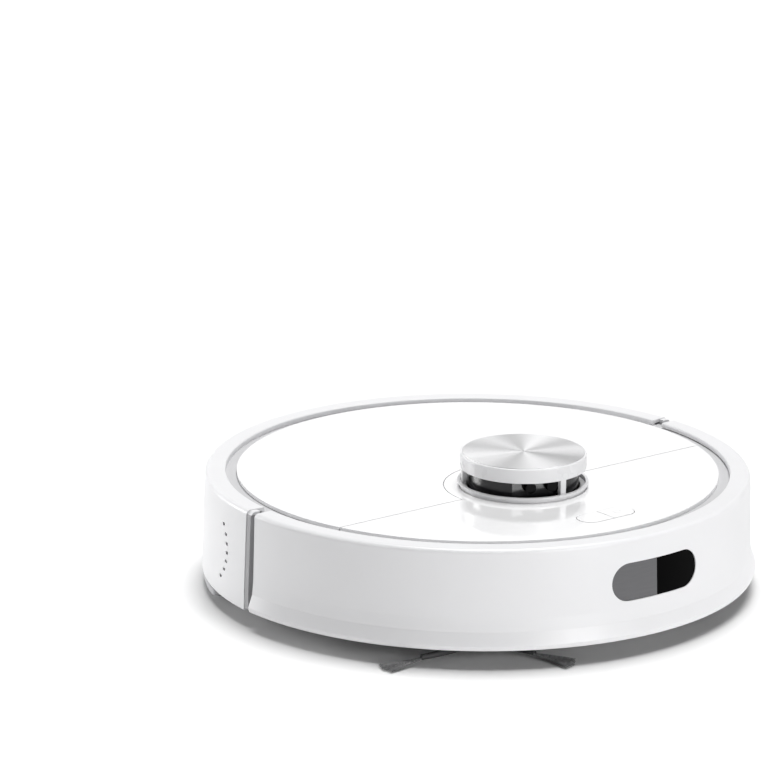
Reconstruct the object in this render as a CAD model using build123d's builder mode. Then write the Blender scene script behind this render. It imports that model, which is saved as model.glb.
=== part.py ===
from build123d import *
import os
from math import cos, degrees, radians, sin, sqrt

os.makedirs("parts", exist_ok=True)

# Robot vacuum cleaner, in millimetres. The origin is on the floor under the centre of the round
# body. +Y is forward, +X is the robot's right and +Z is up.

# Overall sizes
wall_radius = 172.5
deck_height = 73.5
turret_rise = 22.0
ground_clearance = 9.0

# Round shell
shell_wall = 2.5
ring_width = 13.0
ring_rise = 0.9
ring_lip = 2.0
ring_skin = 2.2
shoulder_radius = 2.8
groove_width = 7.0
wall_draft = 2.0
crease_height = 23.0
flare_height = 31.0
flare_inset = 1.1
flare_radius = 20.0
lip_height = 15.0
lip_reach = 5.0
lip_bottom = 12.0
rear_bottom = 10.4
seam_azimuth = 93.0
seam_half_angle = 1.5
strip_half_angle = 2.8
strip_gap = 1.0
strip_top_gap = 0.7
bead_width = 4.4
bead_inset = 0.3
bead_gap = 0.2
bumper_travel = 4.0
frame_clearance = 0.5
frame_wall = 2.5
slide_gap = 0.6

# Deck, covers and recess below the rear lid
cover_thickness = 2.5
plate_thickness = 2.5
lid_gap = 0.3
hinge_seam_y = 45.6
seam_gap = 0.6
lid_bevel = 1.0
recess_depth = 5.5
recess_floor_thickness = 2.0
recess_margin = 19.5
recess_front = 34.0
recess_wall = 2.0
collar_width = 9.6
island_margin = 1.6
lid_rib_inset = 2.5
lid_rib_width = 1.6
lid_rib_depth = 2.5

# Lid hinge
hinge_y = 52.0
hinge_drop = 5.5
hinge_spacing = 140.0
hinge_pin_radius = 1.2
knuckle_radius = 2.8
arm_width = 7.0
arm_inner = 8.6
arm_outer = 11.5
arm_start_angle = 178.0
arm_end_angle = 250.0
arm_bar_angle = 239.0
arm_foot_length = 10.0
arm_foot_thickness = 1.8
slot_side_gap = 0.8
lug_width = 3.0
lug_half_length = 3.5

# Lidar turret
turret_y = 45.0
turret_radius = 39.9
flange_reach = 1.3
flange_bottom = 2.3
flange_top = 3.6
bore_wall = 0.7
neck_step = 1.6
cup_wall = 2.5
turret_ledge = 1.0
turret_depth = 13.5
turret_floor = 2.5
post_gap = 0.3
post_width = 4.2
post_depth = 2.6
post_count = 3
window_drop = 2.2
window_top = 12.6
cap_inset = 0.3
cap_roof = 2.1
cap_edge = 0.8
disc_margin = 1.2
disc_inlay = 1.0
disc_proud = 0.4
dimple_radius = 1.6
dimple_depth = 0.5
drum_gap = 1.0
drum_lift = 1.0
bearing_radius = 4.0
running_clearance = 0.05
window_gap = 1.0
lens_radius = 3.4
lens_length = 4.0
lens_spacing = 14.0
lens_azimuth = 20.0
drum_flat = 5.0
drum_face_width = 60.0
cover_hole_gap = 0.35

# Buttons
button_y = 124.0
button_length = 41.0
button_width = 16.5
button_gap = 0.45
button_rise = 0.15
button_lift = 0.75

# Sensor window in the bumper
pane_length = 67.6
pane_height = 24.0
pane_z = 47.0
pane_gap = 0.3
pane_inset = 0.35
pane_flange = 2.5
pane_thickness = 1.6
pane_bay_gap = 1.5

# Chassis pan
pan_thickness = 3.0
pan_edge_gap = 0.8
well_wall = 2.0
well_roof = 1.5

# Drive wheels on swing arms
wheel_radius = 30.0
wheel_y = -8.0
tyre_width = 20.0
tyre_depth = 7.0
tyre_x = 115.0
rim_recess = 1.5
spoke_count = 6
spoke_hole_radius = 4.0
spoke_hole_ring = 15.5
axle_radius = 4.0
gearbox_inner_x = 80.0
gearbox_width = 17.5
gearbox_radius = 14.0
pivot_y = 36.0
pivot_z = 34.0
pivot_boss = 10.0
pivot_radius = 3.0
wheel_gap = 7.0
well_gap = 2.0
front_gap = 9.0

# Front caster
caster_y = 118.0
caster_radius = 14.0
caster_trail = 6.0
caster_width = 16.0
caster_axle_radius = 2.0
caster_gap = 1.0
cheek_width = 2.5
cheek_radius = 5.0
fork_radius = 21.5
fork_plate = 3.5
fork_plate_z = 31.0
stem_radius = 3.0
stem_length = 10.0
socket_radius = 24.9
socket_cavity = 22.5
socket_flange = 28.0
socket_flange_thickness = 2.0
socket_roof = 3.0
socket_roof_gap = 0.5

# Side brush
side_brush_azimuth = 40.1
side_brush_inset = 31.3
side_hub_radius = 11.0
side_hub_bottom = 3.2
side_hub_gap = 0.5
side_arm_length = 41.0
side_arm_width = 6.0
side_arm_top = 6.6
side_tuft_length = 68.0
side_tuft_width = 13.0
side_tuft_top = 4.6
side_tuft_bottom = 0.6
side_arm_count = 3
side_arm_azimuth = 83.6
side_shaft_bottom = 4.6
side_gearbox_radius = 16.0
side_gearbox_top = 40.0
shaft_hole_gap = 2.0

# Main brush
brush_y = -46.0
brush_z = 20.0
brush_radius = 19.3
brush_core_radius = 12.0
brush_length = 156.0
brush_fin = 1.8
brush_fin_count = 6
chamber_radius = 22.0
chamber_wall = 2.0
chamber_half = 84.0
chamber_end_wall = 3.0
guard_depth = 3.0
guard_margin = 8.0
guard_side_margin = 5.0
guard_opening_margin = 3.0
motor_radius = 11.0
motor_length = 29.0
brush_gear_width = 6.8
brush_gear_depth = 30.0

# Dust tub and its filter
tub_half_width = 70.0
tub_front = -76.0
tub_back = -124.0
tub_corner = 14.0
tub_wall = 1.8
tub_bottom = 16.0
tub_flange = 3.0
tub_flange_thickness = 2.0
tub_gap = 1.0
tub_cover_thickness = 2.5
handle_slot_length = 50.0
handle_slot_width = 9.0
handle_bar = 7.0
duct_half_width = 35.0
duct_low = 26.0
duct_high = 40.0
duct_wall = 2.0
filter_half_width = 58.0
filter_thickness = 8.0
filter_low = 24.0
filter_high = 60.0
outlet_half_width = 40.0

# Suction fan
fan_x = -40.0
fan_y = -28.0
fan_radius = 33.0
fan_wall = 3.0
fan_skin = 2.0
fan_bottom = 46.0
fan_inlet_radius = 13.0
fan_shaft_radius = 2.0
impeller_gap = 2.0
impeller_hub_radius = 6.0
impeller_disc = 1.5
blade_count = 9
blade_thickness = 1.4
blade_height = 8.0

# Mop bracket and pad
mop_inset = 1.0
mop_ear_y = -60.0
mop_front_y = -80.0
mop_ear_x = 96.0
mop_top_gap = 0.4
mop_thickness = 4.0
mop_corner = 4.0
mop_pad_inset = 3.0
mop_pad_bottom = 0.6
rail_x = 60.0
rail_back = -150.0
rail_front = -92.0
rail_neck = 3.0
rail_head = 7.0
rail_head_thickness = 1.3
rail_neck_length = 1.7
rail_clearance = 0.5

# Electrics
battery_half_width = 36.0
battery_front = 70.0
battery_back = 2.0
battery_height = 22.0
battery_corner = 4.0
door_margin = 4.0
door_depth = 1.5
door_gap = 0.3
board_half_width = 60.0
board_front = 86.0
board_back = 10.0
board_thickness = 1.6
post_height = 32.0
board_post_radius = 3.0
board_post_x = 54.0
board_post_margin = 6.0
lidar_motor_radius = 8.0
lidar_motor_length = 16.0
lidar_motor_x = 30.0
lidar_motor_y = 92.0
speaker_radius = 15.0
speaker_depth = 9.0
speaker_z = 34.0

# Ports in the rear shell
hole_length = 3.5
hole_width = 2.1
hole_count = 7
hole_pitch = 5.7
hole_top = 57.8
hole_arc_radius = 24.0
hole_arc_z = 41.8
hole_azimuth = 102.3
contact_x = 44.0
contact_window_width = 18.0
contact_window_height = 14.0
contact_z = 25.0
contact_boss_depth = 6.0
contact_boss_gap = 0.4
contact_width = 13.0
contact_height = 9.0
contact_proud = 0.6
grille_azimuth = -128.0
grille_length = 60.0
grille_height = 20.0
grille_z = 42.0
grille_slot = 2.2
grille_pitch = 5.0
grille_gap = 0.2
eye_length = 34.0
eye_height = 13.0
eye_z = 47.0
cliff_azimuths = (-62.0, -21.0, 21.0, 66.0)
cliff_inset = 10.0
cliff_length = 18.0
cliff_width = 10.0
cliff_corner = 3.0
cliff_depth = 1.5

# Levels and radii that follow from the sizes above
ring_inner = wall_radius - ring_width
deck_radius = ring_inner - groove_width
frame_radius = wall_radius - shell_wall - bumper_travel - frame_clearance
ring_crest = deck_height + ring_rise
plate_top = deck_height - cover_thickness
plate_bottom = plate_top - plate_thickness
pan_bottom = ground_clearance
pan_top = pan_bottom + pan_thickness
recess_floor = plate_top - recess_depth
recess_bottom = recess_floor - recess_floor_thickness
recess_radius = frame_radius - recess_margin
crease_radius = wall_radius + wall_draft
lip_radius = wall_radius + lip_reach
lid_bottom = plate_top + lid_gap
hinge_z = deck_height - hinge_drop
side_brush_ring = wall_radius - side_brush_inset
flange_radius = turret_radius + flange_reach
turret_bore = turret_radius - bore_wall
turret_neck = turret_radius - neck_step
turret_inner = turret_neck - cup_wall
post_radius = turret_bore - post_gap
cap_radius = turret_radius - cap_inset
disc_radius = cap_radius - disc_margin
drum_radius = turret_inner - drum_gap
drum_face = drum_radius - drum_flat
collar_radius = turret_radius + collar_width
lid_notch_radius = collar_radius + seam_gap
island_radius = collar_radius + island_margin
reach = wall_radius * 2
low = -deck_height
arm_gap = arm_width / 2 + slot_side_gap


def save(piece, name):
    piece.part.label = name
    export_step(piece.part, f"parts/{name}.step")


def at_azimuth(azimuth, distance):
    # Azimuth runs from forward (+Y) towards the robot's right (+X).
    return (distance * sin(radians(azimuth)), distance * cos(radians(azimuth)))


def outward(azimuth, distance, height):
    # A plane that faces away from the body's centre, with its Y along +Z.
    x, y = at_azimuth(azimuth, distance)
    right = (-cos(radians(azimuth)), sin(radians(azimuth)), 0)
    return Plane(origin=(x, y, height), x_dir=right, z_dir=(x, y, 0))


def behind(half_angle):
    # The region behind the two radial lines at plus and minus the angle from forward.
    side = at_azimuth(half_angle, reach)
    return [(0, 0), side, (reach, -reach), (-reach, -reach), (-side[0], side[1])]


def wall_radius_at(height):
    # The drafted wall, between the shoulder and the crease.
    share = (ring_crest - height) / (ring_crest - crease_height)
    return wall_radius + wall_draft * share


# Bumper: a C-shaped shell with the white top ring, a flared lip and the window opening.
with BuildPart() as bumper_shell:
    with BuildSketch(Plane.XZ):
        with BuildLine():
            ring_low = plate_top + slide_gap
            inside = wall_radius - shell_wall
            flare = wall_radius + flare_inset
            FilletPolyline(
                (ring_inner, ring_low),
                (ring_inner, ring_crest),
                (wall_radius, ring_crest),
                (flare, flare_height),
                (crease_radius, crease_height),
                radius=(ring_rise, shoulder_radius, flare_radius),
            )
            FilletPolyline(
                (crease_radius, crease_height),
                (lip_radius, lip_height),
                (lip_radius - ring_rise, lip_bottom),
                (lip_radius - shell_wall, lip_bottom),
                radius=(ring_rise, ring_rise / 2),
            )
            Polyline(
                (lip_radius - shell_wall, lip_bottom),
                (crease_radius - shell_wall, crease_height),
                (flare - shell_wall, flare_height),
                (inside, ring_crest - ring_skin),
                (ring_inner + ring_lip, ring_crest - ring_skin),
                (ring_inner + ring_lip, ring_low),
                (ring_inner, ring_low),
            )
        make_face()
    revolve(axis=Axis.Z)
    with BuildSketch(Plane.XY.offset(low)):
        with BuildLine():
            Polyline(*behind(seam_azimuth - seam_half_angle), close=True)
        make_face()
    extrude(amount=reach, mode=Mode.SUBTRACT)
    with BuildSketch(Plane.XZ.offset(-reach)):
        with Locations((0, pane_z)):
            SlotOverall(pane_length, pane_height)
    extrude(amount=reach - deck_radius, mode=Mode.SUBTRACT)
save(bumper_shell, "bumper_shell")

# The two panes of the sensor window, each with a flange behind the bumper's wall.
for side, name in ((1, "window_pane_right"), (-1, "window_pane_left")):
    with BuildPart() as pane:
        with BuildSketch(Plane.XZ):
            with BuildLine():
                Polyline(
                    (wall_radius_at(ring_crest) - pane_inset - wall_draft / 2, ring_crest),
                    (wall_radius + flare_inset - pane_inset, flare_height),
                    (wall_radius + flare_inset - shell_wall, flare_height),
                    (wall_radius - shell_wall, ring_crest - ring_skin),
                    (wall_radius - shell_wall, ring_crest),
                    close=True,
                )
            make_face()
        revolve(axis=Axis.Z)
        with BuildSketch(Plane.XZ.offset(-reach)):
            with Locations((0, pane_z)):
                SlotOverall(pane_length - pane_gap, pane_height - pane_gap)
        extrude(amount=reach, mode=Mode.INTERSECT)
        with BuildSketch(Plane.XY.offset(low)):
            with Locations((-side * (reach - pane_gap / 2), 0)):
                Rectangle(2 * reach, 2 * reach)
        extrude(amount=reach, mode=Mode.SUBTRACT)
    with BuildPart() as flange:
        with BuildSketch(Plane.XZ):
            with BuildLine():
                Polyline(
                    (wall_radius - shell_wall, ring_crest - ring_skin),
                    (wall_radius + flare_inset - shell_wall, flare_height),
                    (wall_radius + flare_inset - shell_wall - pane_thickness, flare_height),
                    (wall_radius - shell_wall - pane_thickness, ring_crest - ring_skin),
                    close=True,
                )
            make_face()
        revolve(axis=Axis.Z)
        with BuildSketch(Plane.XZ.offset(-reach)):
            with Locations((0, pane_z)):
                SlotOverall(pane_length + 2 * pane_flange, pane_height + 2 * pane_flange)
        extrude(amount=reach, mode=Mode.INTERSECT)
        with BuildSketch(Plane.XY.offset(low)):
            with Locations((-side * (reach - pane_gap / 2), 0)):
                Rectangle(2 * reach, 2 * reach)
        extrude(amount=reach, mode=Mode.SUBTRACT)
    with BuildPart() as window:
        add(pane.part)
        add(flange.part)
    save(window, name)

# Rear shell: the same wall without the flare, with its ports.
with BuildPart() as rear_shell:
    with BuildSketch(Plane.XZ):
        with BuildLine():
            inside = wall_radius - shell_wall
            FilletPolyline(
                (ring_inner, plate_top),
                (ring_inner, ring_crest),
                (wall_radius, ring_crest),
                (crease_radius, crease_height),
                (crease_radius, rear_bottom),
                (crease_radius - shell_wall, rear_bottom),
                radius=(ring_rise, shoulder_radius, flare_radius, ring_rise / 2),
            )
            Polyline(
                (crease_radius - shell_wall, rear_bottom),
                (crease_radius - shell_wall, crease_height),
                (inside, ring_crest - ring_skin),
                (ring_inner + ring_lip, ring_crest - ring_skin),
                (ring_inner + ring_lip, plate_top),
                (ring_inner, plate_top),
            )
        make_face()
    revolve(axis=Axis.Z)
    with BuildSketch(Plane.XY.offset(low)):
        with BuildLine():
            Polyline(*behind(seam_azimuth + seam_half_angle), close=True)
        make_face()
    extrude(amount=reach, mode=Mode.INTERSECT)
    for index in range(hole_count):
        height = hole_top - index * hole_pitch
        bow = hole_arc_radius - sqrt(hole_arc_radius**2 - (height - hole_arc_z) ** 2)
        azimuth = hole_azimuth + degrees(bow / wall_radius)
        with BuildSketch(outward(azimuth, frame_radius, height)):
            SlotOverall(hole_length, hole_width)
        extrude(amount=reach, mode=Mode.SUBTRACT)
    with BuildSketch(Plane.XZ.offset(deck_radius)):
        with Locations((contact_x, contact_z), (-contact_x, contact_z)):
            Rectangle(contact_window_width, contact_window_height)
        with Locations((0, eye_z)):
            SlotOverall(eye_length, eye_height)
    extrude(amount=reach, mode=Mode.SUBTRACT)
    with BuildSketch(outward(grille_azimuth, deck_radius, grille_z)):
        SlotOverall(grille_length, grille_height)
    extrude(amount=reach, mode=Mode.SUBTRACT)
save(rear_shell, "rear_shell")


def shell_skin(thickness, inset):
    # A drafted ring that follows the rear wall, inset from its outside.
    with BuildPart() as skin:
        with BuildSketch(Plane.XZ):
            with BuildLine():
                Polyline(
                    (wall_radius - inset, ring_crest),
                    (crease_radius - inset, crease_height),
                    (crease_radius - inset - thickness, crease_height),
                    (wall_radius - inset - thickness, ring_crest),
                    close=True,
                )
            make_face()
        revolve(axis=Axis.Z)
    return skin.part


# Exhaust grille: a curved plate with upright slots, behind its opening in the rear shell.
with BuildPart() as exhaust_grille:
    add(shell_skin(shell_wall, pane_inset))
    with BuildSketch(outward(grille_azimuth, deck_radius, grille_z)):
        SlotOverall(grille_length - grille_gap, grille_height - grille_gap)
    extrude(amount=reach, mode=Mode.INTERSECT)
    slots = int((grille_length - grille_height) / grille_pitch)
    with BuildSketch(outward(grille_azimuth, deck_radius, grille_z)):
        with GridLocations(grille_pitch, 0, slots, 1):
            SlotOverall(grille_height - 2 * grille_slot, grille_slot, rotation=90)
    extrude(amount=reach, mode=Mode.SUBTRACT)
save(exhaust_grille, "exhaust_grille")

# Dark infrared window at the very back, for finding the charging base.
with BuildPart() as dock_window:
    add(shell_skin(shell_wall, pane_inset))
    with BuildSketch(Plane.XZ.offset(deck_radius)):
        with Locations((0, eye_z)):
            SlotOverall(eye_length - grille_gap, eye_height - grille_gap)
    extrude(amount=reach, mode=Mode.INTERSECT)
save(dock_window, "dock_window")

# Grey strips that close the two seams from behind, just inside the bumper's and shell's walls,
# each with a bead that stands out in the rear half of its seam.
strip_inset = shell_wall + strip_gap
strip_top = ring_crest - ring_skin - strip_top_gap
strip_outline = (
    (frame_radius, pan_top),
    (crease_radius - strip_inset, pan_top),
    (crease_radius - strip_inset, crease_height),
    (wall_radius_at(strip_top) - strip_inset, strip_top),
    (frame_radius, strip_top),
)
bead_outline = (
    (frame_radius, pan_top),
    (crease_radius - bead_inset, pan_top),
    (crease_radius - bead_inset, crease_height),
    (wall_radius - bead_inset, ring_crest - shoulder_radius),
    (wall_radius - shoulder_radius, ring_crest - bead_inset),
    (frame_radius, ring_crest - bead_inset),
)
shell_edge = seam_azimuth + seam_half_angle
bead_start = shell_edge - degrees(bead_width / wall_radius)
bead_end = shell_edge - degrees(bead_gap / wall_radius)


def swept(outline, start, end):
    # A profile swept round the body's axis from one azimuth to another.
    with BuildPart() as piece:
        with BuildSketch(Plane.XZ):
            with BuildLine():
                Polyline(*outline, close=True)
            make_face()
        revolve(axis=Axis.Z)
        with BuildSketch(Plane.XY):
            with BuildLine():
                Polyline((0, 0), at_azimuth(start, reach), at_azimuth(end, reach), close=True)
            make_face()
        extrude(amount=reach, mode=Mode.INTERSECT)
    return piece.part


for side, name in ((1, "seam_strip_right"), (-1, "seam_strip_left")):
    strip_start = side * (seam_azimuth - strip_half_angle)
    with BuildPart() as seam_strip:
        add(swept(strip_outline, strip_start, side * (seam_azimuth + strip_half_angle)))
        add(swept(bead_outline, side * bead_start, side * bead_end))
    save(seam_strip, name)


def recess_outline(growth):
    # The hollow under the rear lid: a half disc that leaves an island for the turret.
    with BuildSketch() as outline:
        Circle(recess_radius + growth)
        with Locations((0, recess_front + growth)):
            Rectangle(2 * reach, reach, align=(Align.CENTER, Align.MIN), mode=Mode.SUBTRACT)
        with Locations((0, turret_y)):
            Circle(island_radius - growth, mode=Mode.SUBTRACT)
    return outline.sketch


def tub_outline(growth):
    centre = (tub_front + tub_back) / 2
    depth = tub_front - tub_back
    with BuildSketch() as outline:
        with Locations((0, centre)):
            RectangleRounded(
                2 * (tub_half_width + growth), depth + 2 * growth, tub_corner + growth
            )
    return outline.sketch


# Grey middle frame: outer wall, top plate with the groove, recess, turret seat and hinge lugs.
with BuildPart() as mid_frame:
    with BuildSketch(Plane.XY.offset(pan_top)):
        Circle(frame_radius)
        Circle(frame_radius - frame_wall, mode=Mode.SUBTRACT)
    extrude(amount=plate_top - pan_top)
    with BuildSketch(Plane.XY.offset(plate_bottom)):
        Circle(frame_radius)
    extrude(amount=plate_thickness)
    with BuildSketch(Plane.XY.offset(recess_bottom)):
        add(recess_outline(recess_wall))
    extrude(amount=plate_top - recess_bottom)
    with BuildSketch(Plane.XY.offset(recess_floor)):
        add(recess_outline(0))
    extrude(amount=recess_depth, mode=Mode.SUBTRACT)
    with BuildSketch(Plane.XY.offset(recess_bottom)):
        add(tub_outline(tub_gap))
    extrude(amount=plate_top - recess_bottom, mode=Mode.SUBTRACT)
    with BuildSketch(Plane.XY.offset(low)):
        with Locations((0, turret_y)):
            Circle(turret_neck + door_gap)
    extrude(amount=reach, mode=Mode.SUBTRACT)
    for side in (1, -1):
        for lug in (1, -1):
            lug_x = side * hinge_spacing / 2 + lug * (arm_gap + lug_width / 2)
            with BuildSketch(Plane.XY.offset(hinge_z - lug_half_length)):
                with Locations((lug_x, hinge_y)):
                    Rectangle(lug_width, 2 * lug_half_length)
            extrude(amount=plate_bottom - hinge_z + lug_half_length)
    slot_back = recess_front - recess_wall
    slot_front = hinge_y + knuckle_radius + slot_side_gap
    with BuildSketch(Plane.XY.offset(low)):
        with Locations((hinge_spacing / 2, 0), (-hinge_spacing / 2, 0)):
            with Locations((0, (slot_back + slot_front) / 2)):
                Rectangle(2 * arm_gap, slot_front - slot_back)
    extrude(amount=reach, mode=Mode.SUBTRACT)
    with BuildSketch(Plane.YZ.offset(-reach)):
        with Locations((hinge_y, hinge_z)):
            Circle(hinge_pin_radius)
    extrude(amount=2 * reach, mode=Mode.SUBTRACT)
    boss_y = crease_radius - shell_wall / 2 - contact_boss_depth
    with BuildSketch(Plane.XZ.offset(deck_radius)):
        with Locations((contact_x, contact_z), (-contact_x, contact_z)):
            Rectangle(
                contact_window_width - 2 * contact_boss_gap,
                contact_window_height - 2 * contact_boss_gap,
            )
    extrude(amount=boss_y - deck_radius)
    with BuildSketch(Plane.XY.offset(pan_top)):
        Circle(frame_radius - frame_wall)
        Circle(recess_radius + recess_wall, mode=Mode.SUBTRACT)
    extrude(amount=recess_bottom - pan_top, mode=Mode.SUBTRACT)
    # The opening behind the sensor window, where the panes go when the bumper is pushed in.
    with BuildSketch(Plane.XZ.offset(-reach)):
        with Locations((0, pane_z)):
            SlotOverall(
                pane_length + 2 * (pane_flange + pane_bay_gap),
                pane_height + 2 * (pane_flange + pane_bay_gap),
            )
    extrude(amount=reach - deck_radius, mode=Mode.SUBTRACT)
save(mid_frame, "mid_frame")

# Metal charging contacts on the two bosses at the back.
for side, name in ((1, "charge_contact_right"), (-1, "charge_contact_left")):
    with BuildPart() as contact:
        with BuildSketch(Plane.XZ.offset(boss_y)):
            with Locations((side * contact_x, contact_z)):
                RectangleRounded(contact_width, contact_height, contact_proud)
        extrude(amount=contact_proud)
    save(contact, name)

# Glossy front cover, with the collar that frames the turret and the button opening.
with BuildPart() as front_cover:
    with BuildSketch(Plane.XY.offset(plate_top)):
        Circle(deck_radius)
        with Locations((0, hinge_seam_y + seam_gap)):
            Rectangle(2 * reach, reach, align=(Align.CENTER, Align.MAX), mode=Mode.SUBTRACT)
        with Locations((0, turret_y)):
            Circle(collar_radius)
            Circle(turret_radius + cover_hole_gap, mode=Mode.SUBTRACT)
        with Locations((0, button_y)):
            SlotOverall(
                button_length + 2 * button_gap, button_width + 2 * button_gap, mode=Mode.SUBTRACT
            )
    extrude(amount=cover_thickness)
save(front_cover, "front_cover")

# Two push buttons that share one pill-shaped outline.
button_bottom = plate_top + button_lift
button_top = deck_height + button_rise
for side, name in ((1, "button_right"), (-1, "button_left")):
    with BuildPart() as button:
        with BuildSketch(Plane.XY.offset(button_bottom)):
            with Locations((0, button_y)):
                SlotOverall(button_length, button_width)
            with Locations((side * button_gap / 2, button_y)):
                corner = Align.MAX if side > 0 else Align.MIN
                Rectangle(
                    reach, reach, align=(corner, Align.CENTER), mode=Mode.SUBTRACT
                )
        extrude(amount=button_top - button_bottom)
    save(button, name)

# Rear lid, its underside rib, and its bevelled hinge edge.
with BuildPart() as rear_lid:
    with BuildSketch(Plane.XY.offset(lid_bottom)):
        Circle(deck_radius)
        with Locations((0, hinge_seam_y)):
            Rectangle(2 * reach, reach, align=(Align.CENTER, Align.MIN), mode=Mode.SUBTRACT)
        with Locations((0, turret_y)):
            Circle(lid_notch_radius, mode=Mode.SUBTRACT)
    extrude(amount=deck_height - lid_bottom)
    with BuildSketch(Plane.YZ.offset(-reach)):
        with BuildLine():
            Polyline(
                (hinge_seam_y, deck_height),
                (hinge_seam_y + lid_bevel, lid_bottom),
                (hinge_seam_y - lid_bevel, lid_bottom),
                close=True,
            )
        make_face()
    extrude(amount=2 * reach, mode=Mode.SUBTRACT)
    with BuildSketch(Plane.XY.offset(lid_bottom - lid_rib_depth)):
        add(recess_outline(-lid_rib_inset))
        add(recess_outline(-lid_rib_inset - lid_rib_width), mode=Mode.SUBTRACT)
        foot = arm_width + 2 * slot_side_gap
        with Locations((hinge_spacing / 2, recess_front), (-hinge_spacing / 2, recess_front)):
            Rectangle(foot, 2 * arm_foot_length, mode=Mode.SUBTRACT)
    extrude(amount=lid_rib_depth)
save(rear_lid, "rear_lid")


def on_hinge(distance, angle):
    return (hinge_y + distance * cos(radians(angle)), hinge_z + distance * sin(radians(angle)))


# Gooseneck arms: each passes under the front cover's edge to its hinge pin.
for side, name in ((1, "lid_arm_right"), (-1, "lid_arm_left")):
    with BuildPart() as lid_arm:
        with BuildSketch(Plane.YZ.offset(side * hinge_spacing / 2 - arm_width / 2)):
            with Locations((hinge_y, hinge_z)):
                Circle(arm_outer)
                Circle(arm_inner, mode=Mode.SUBTRACT)
            with BuildLine():
                Polyline(
                    (hinge_y, hinge_z),
                    on_hinge(reach, arm_start_angle),
                    on_hinge(2 * reach, (arm_start_angle + arm_end_angle) / 2),
                    on_hinge(reach, arm_end_angle),
                    close=True,
                )
            make_face(mode=Mode.INTERSECT)
            with BuildLine():
                Polyline(
                    on_hinge(arm_outer, arm_bar_angle),
                    on_hinge(arm_outer, arm_end_angle),
                    (hinge_y, hinge_z - hinge_pin_radius),
                    (hinge_y - hinge_pin_radius, hinge_z),
                    close=True,
                )
            make_face()
            with Locations((hinge_y, hinge_z)):
                Circle(knuckle_radius)
            with Locations((hinge_y - arm_outer, hinge_z)):
                Rectangle(
                    arm_outer - arm_inner, lid_bottom - hinge_z, align=(Align.MIN, Align.MIN)
                )
            with Locations((hinge_y - arm_inner, lid_bottom)):
                Rectangle(
                    arm_foot_length, arm_foot_thickness, align=(Align.MAX, Align.MAX)
                )
            with Locations((hinge_y, hinge_z)):
                Circle(hinge_pin_radius + running_clearance, mode=Mode.SUBTRACT)
        extrude(amount=arm_width)
    save(lid_arm, name)
    with BuildPart() as hinge_pin:
        pin_length = 2 * (arm_gap + lug_width)
        with BuildSketch(Plane.YZ.offset(side * hinge_spacing / 2 - pin_length / 2)):
            with Locations((hinge_y, hinge_z)):
                Circle(hinge_pin_radius)
        extrude(amount=pin_length)
    save(hinge_pin, name.replace("lid_arm", "hinge_pin"))


def upright(x, y):
    # A plane for the half profile of what turns about a vertical axis.
    return Plane(origin=(x, y, 0), x_dir=(1, 0, 0), z_dir=(0, -1, 0))


def vertical(x, y):
    return Axis((x, y, 0), (0, 0, 1))


# Turret base: a cup that drops through the frame, with a flange above the deck.
cup_floor = plate_top - turret_depth + turret_floor
ledge = deck_height + turret_ledge
bearing_hole = bearing_radius + running_clearance
with BuildPart() as turret_base:
    with BuildSketch(upright(0, turret_y)):
        with BuildLine():
            Polyline(
                (bearing_hole, cup_floor - turret_floor),
                (turret_neck, cup_floor - turret_floor),
                (turret_neck, plate_top),
                (turret_radius, plate_top),
                (turret_radius, deck_height + flange_bottom),
                (flange_radius, deck_height + flange_bottom),
                (flange_radius, deck_height + flange_top),
                (turret_bore, deck_height + flange_top),
                (turret_bore, ledge),
                (turret_inner, ledge),
                (turret_inner, cup_floor),
                (bearing_hole, cup_floor),
                close=True,
            )
        make_face()
    revolve(axis=vertical(0, turret_y))
save(turret_base, "turret_base")

# Turret cap: a shallow cup upside down on three posts, which reach down into the base.
post_bottom = deck_height + window_drop
band_top = deck_height + window_top
cap_top = deck_height + turret_rise - disc_proud
with BuildPart() as turret_cap:
    with BuildSketch(Plane.XY.offset(band_top)):
        with Locations((0, turret_y)):
            Circle(cap_radius)
    extrude(amount=cap_top - band_top)
    fillet(turret_cap.edges().group_by(Axis.Z)[-1], radius=cap_edge)
    with BuildSketch(Plane.XY.offset(cap_top - disc_inlay + disc_proud)):
        with Locations((0, turret_y)):
            Circle(disc_radius)
    extrude(amount=disc_inlay, mode=Mode.SUBTRACT)
    with BuildSketch(Plane.XY.offset(band_top)):
        with Locations((0, turret_y)):
            Circle(post_radius - post_depth)
    extrude(amount=cap_top - band_top - disc_inlay - cap_roof, mode=Mode.SUBTRACT)
    with BuildSketch(Plane.XY.offset(post_bottom)):
        with Locations((0, turret_y)):
            with PolarLocations(0, post_count, start_angle=90):
                with Locations((post_radius - post_depth / 2, 0)):
                    Rectangle(2 * post_depth, post_width)
            Circle(post_radius, mode=Mode.INTERSECT)
            Circle(post_radius - post_depth, mode=Mode.SUBTRACT)
    extrude(amount=band_top - post_bottom)
save(turret_cap, "turret_cap")

# Round metal disc on the cap, with a small dimple in the middle.
with BuildPart() as turret_disc:
    with BuildSketch(upright(0, turret_y)):
        with BuildLine():
            disc_top = deck_height + turret_rise
            Polyline(
                (0, disc_top - disc_inlay),
                (disc_radius, disc_top - disc_inlay),
                (disc_radius, disc_top),
                (dimple_radius, disc_top),
                (0, disc_top - dimple_depth),
                close=True,
            )
        make_face()
    revolve(axis=vertical(0, turret_y))
save(turret_disc, "turret_disc")

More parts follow.
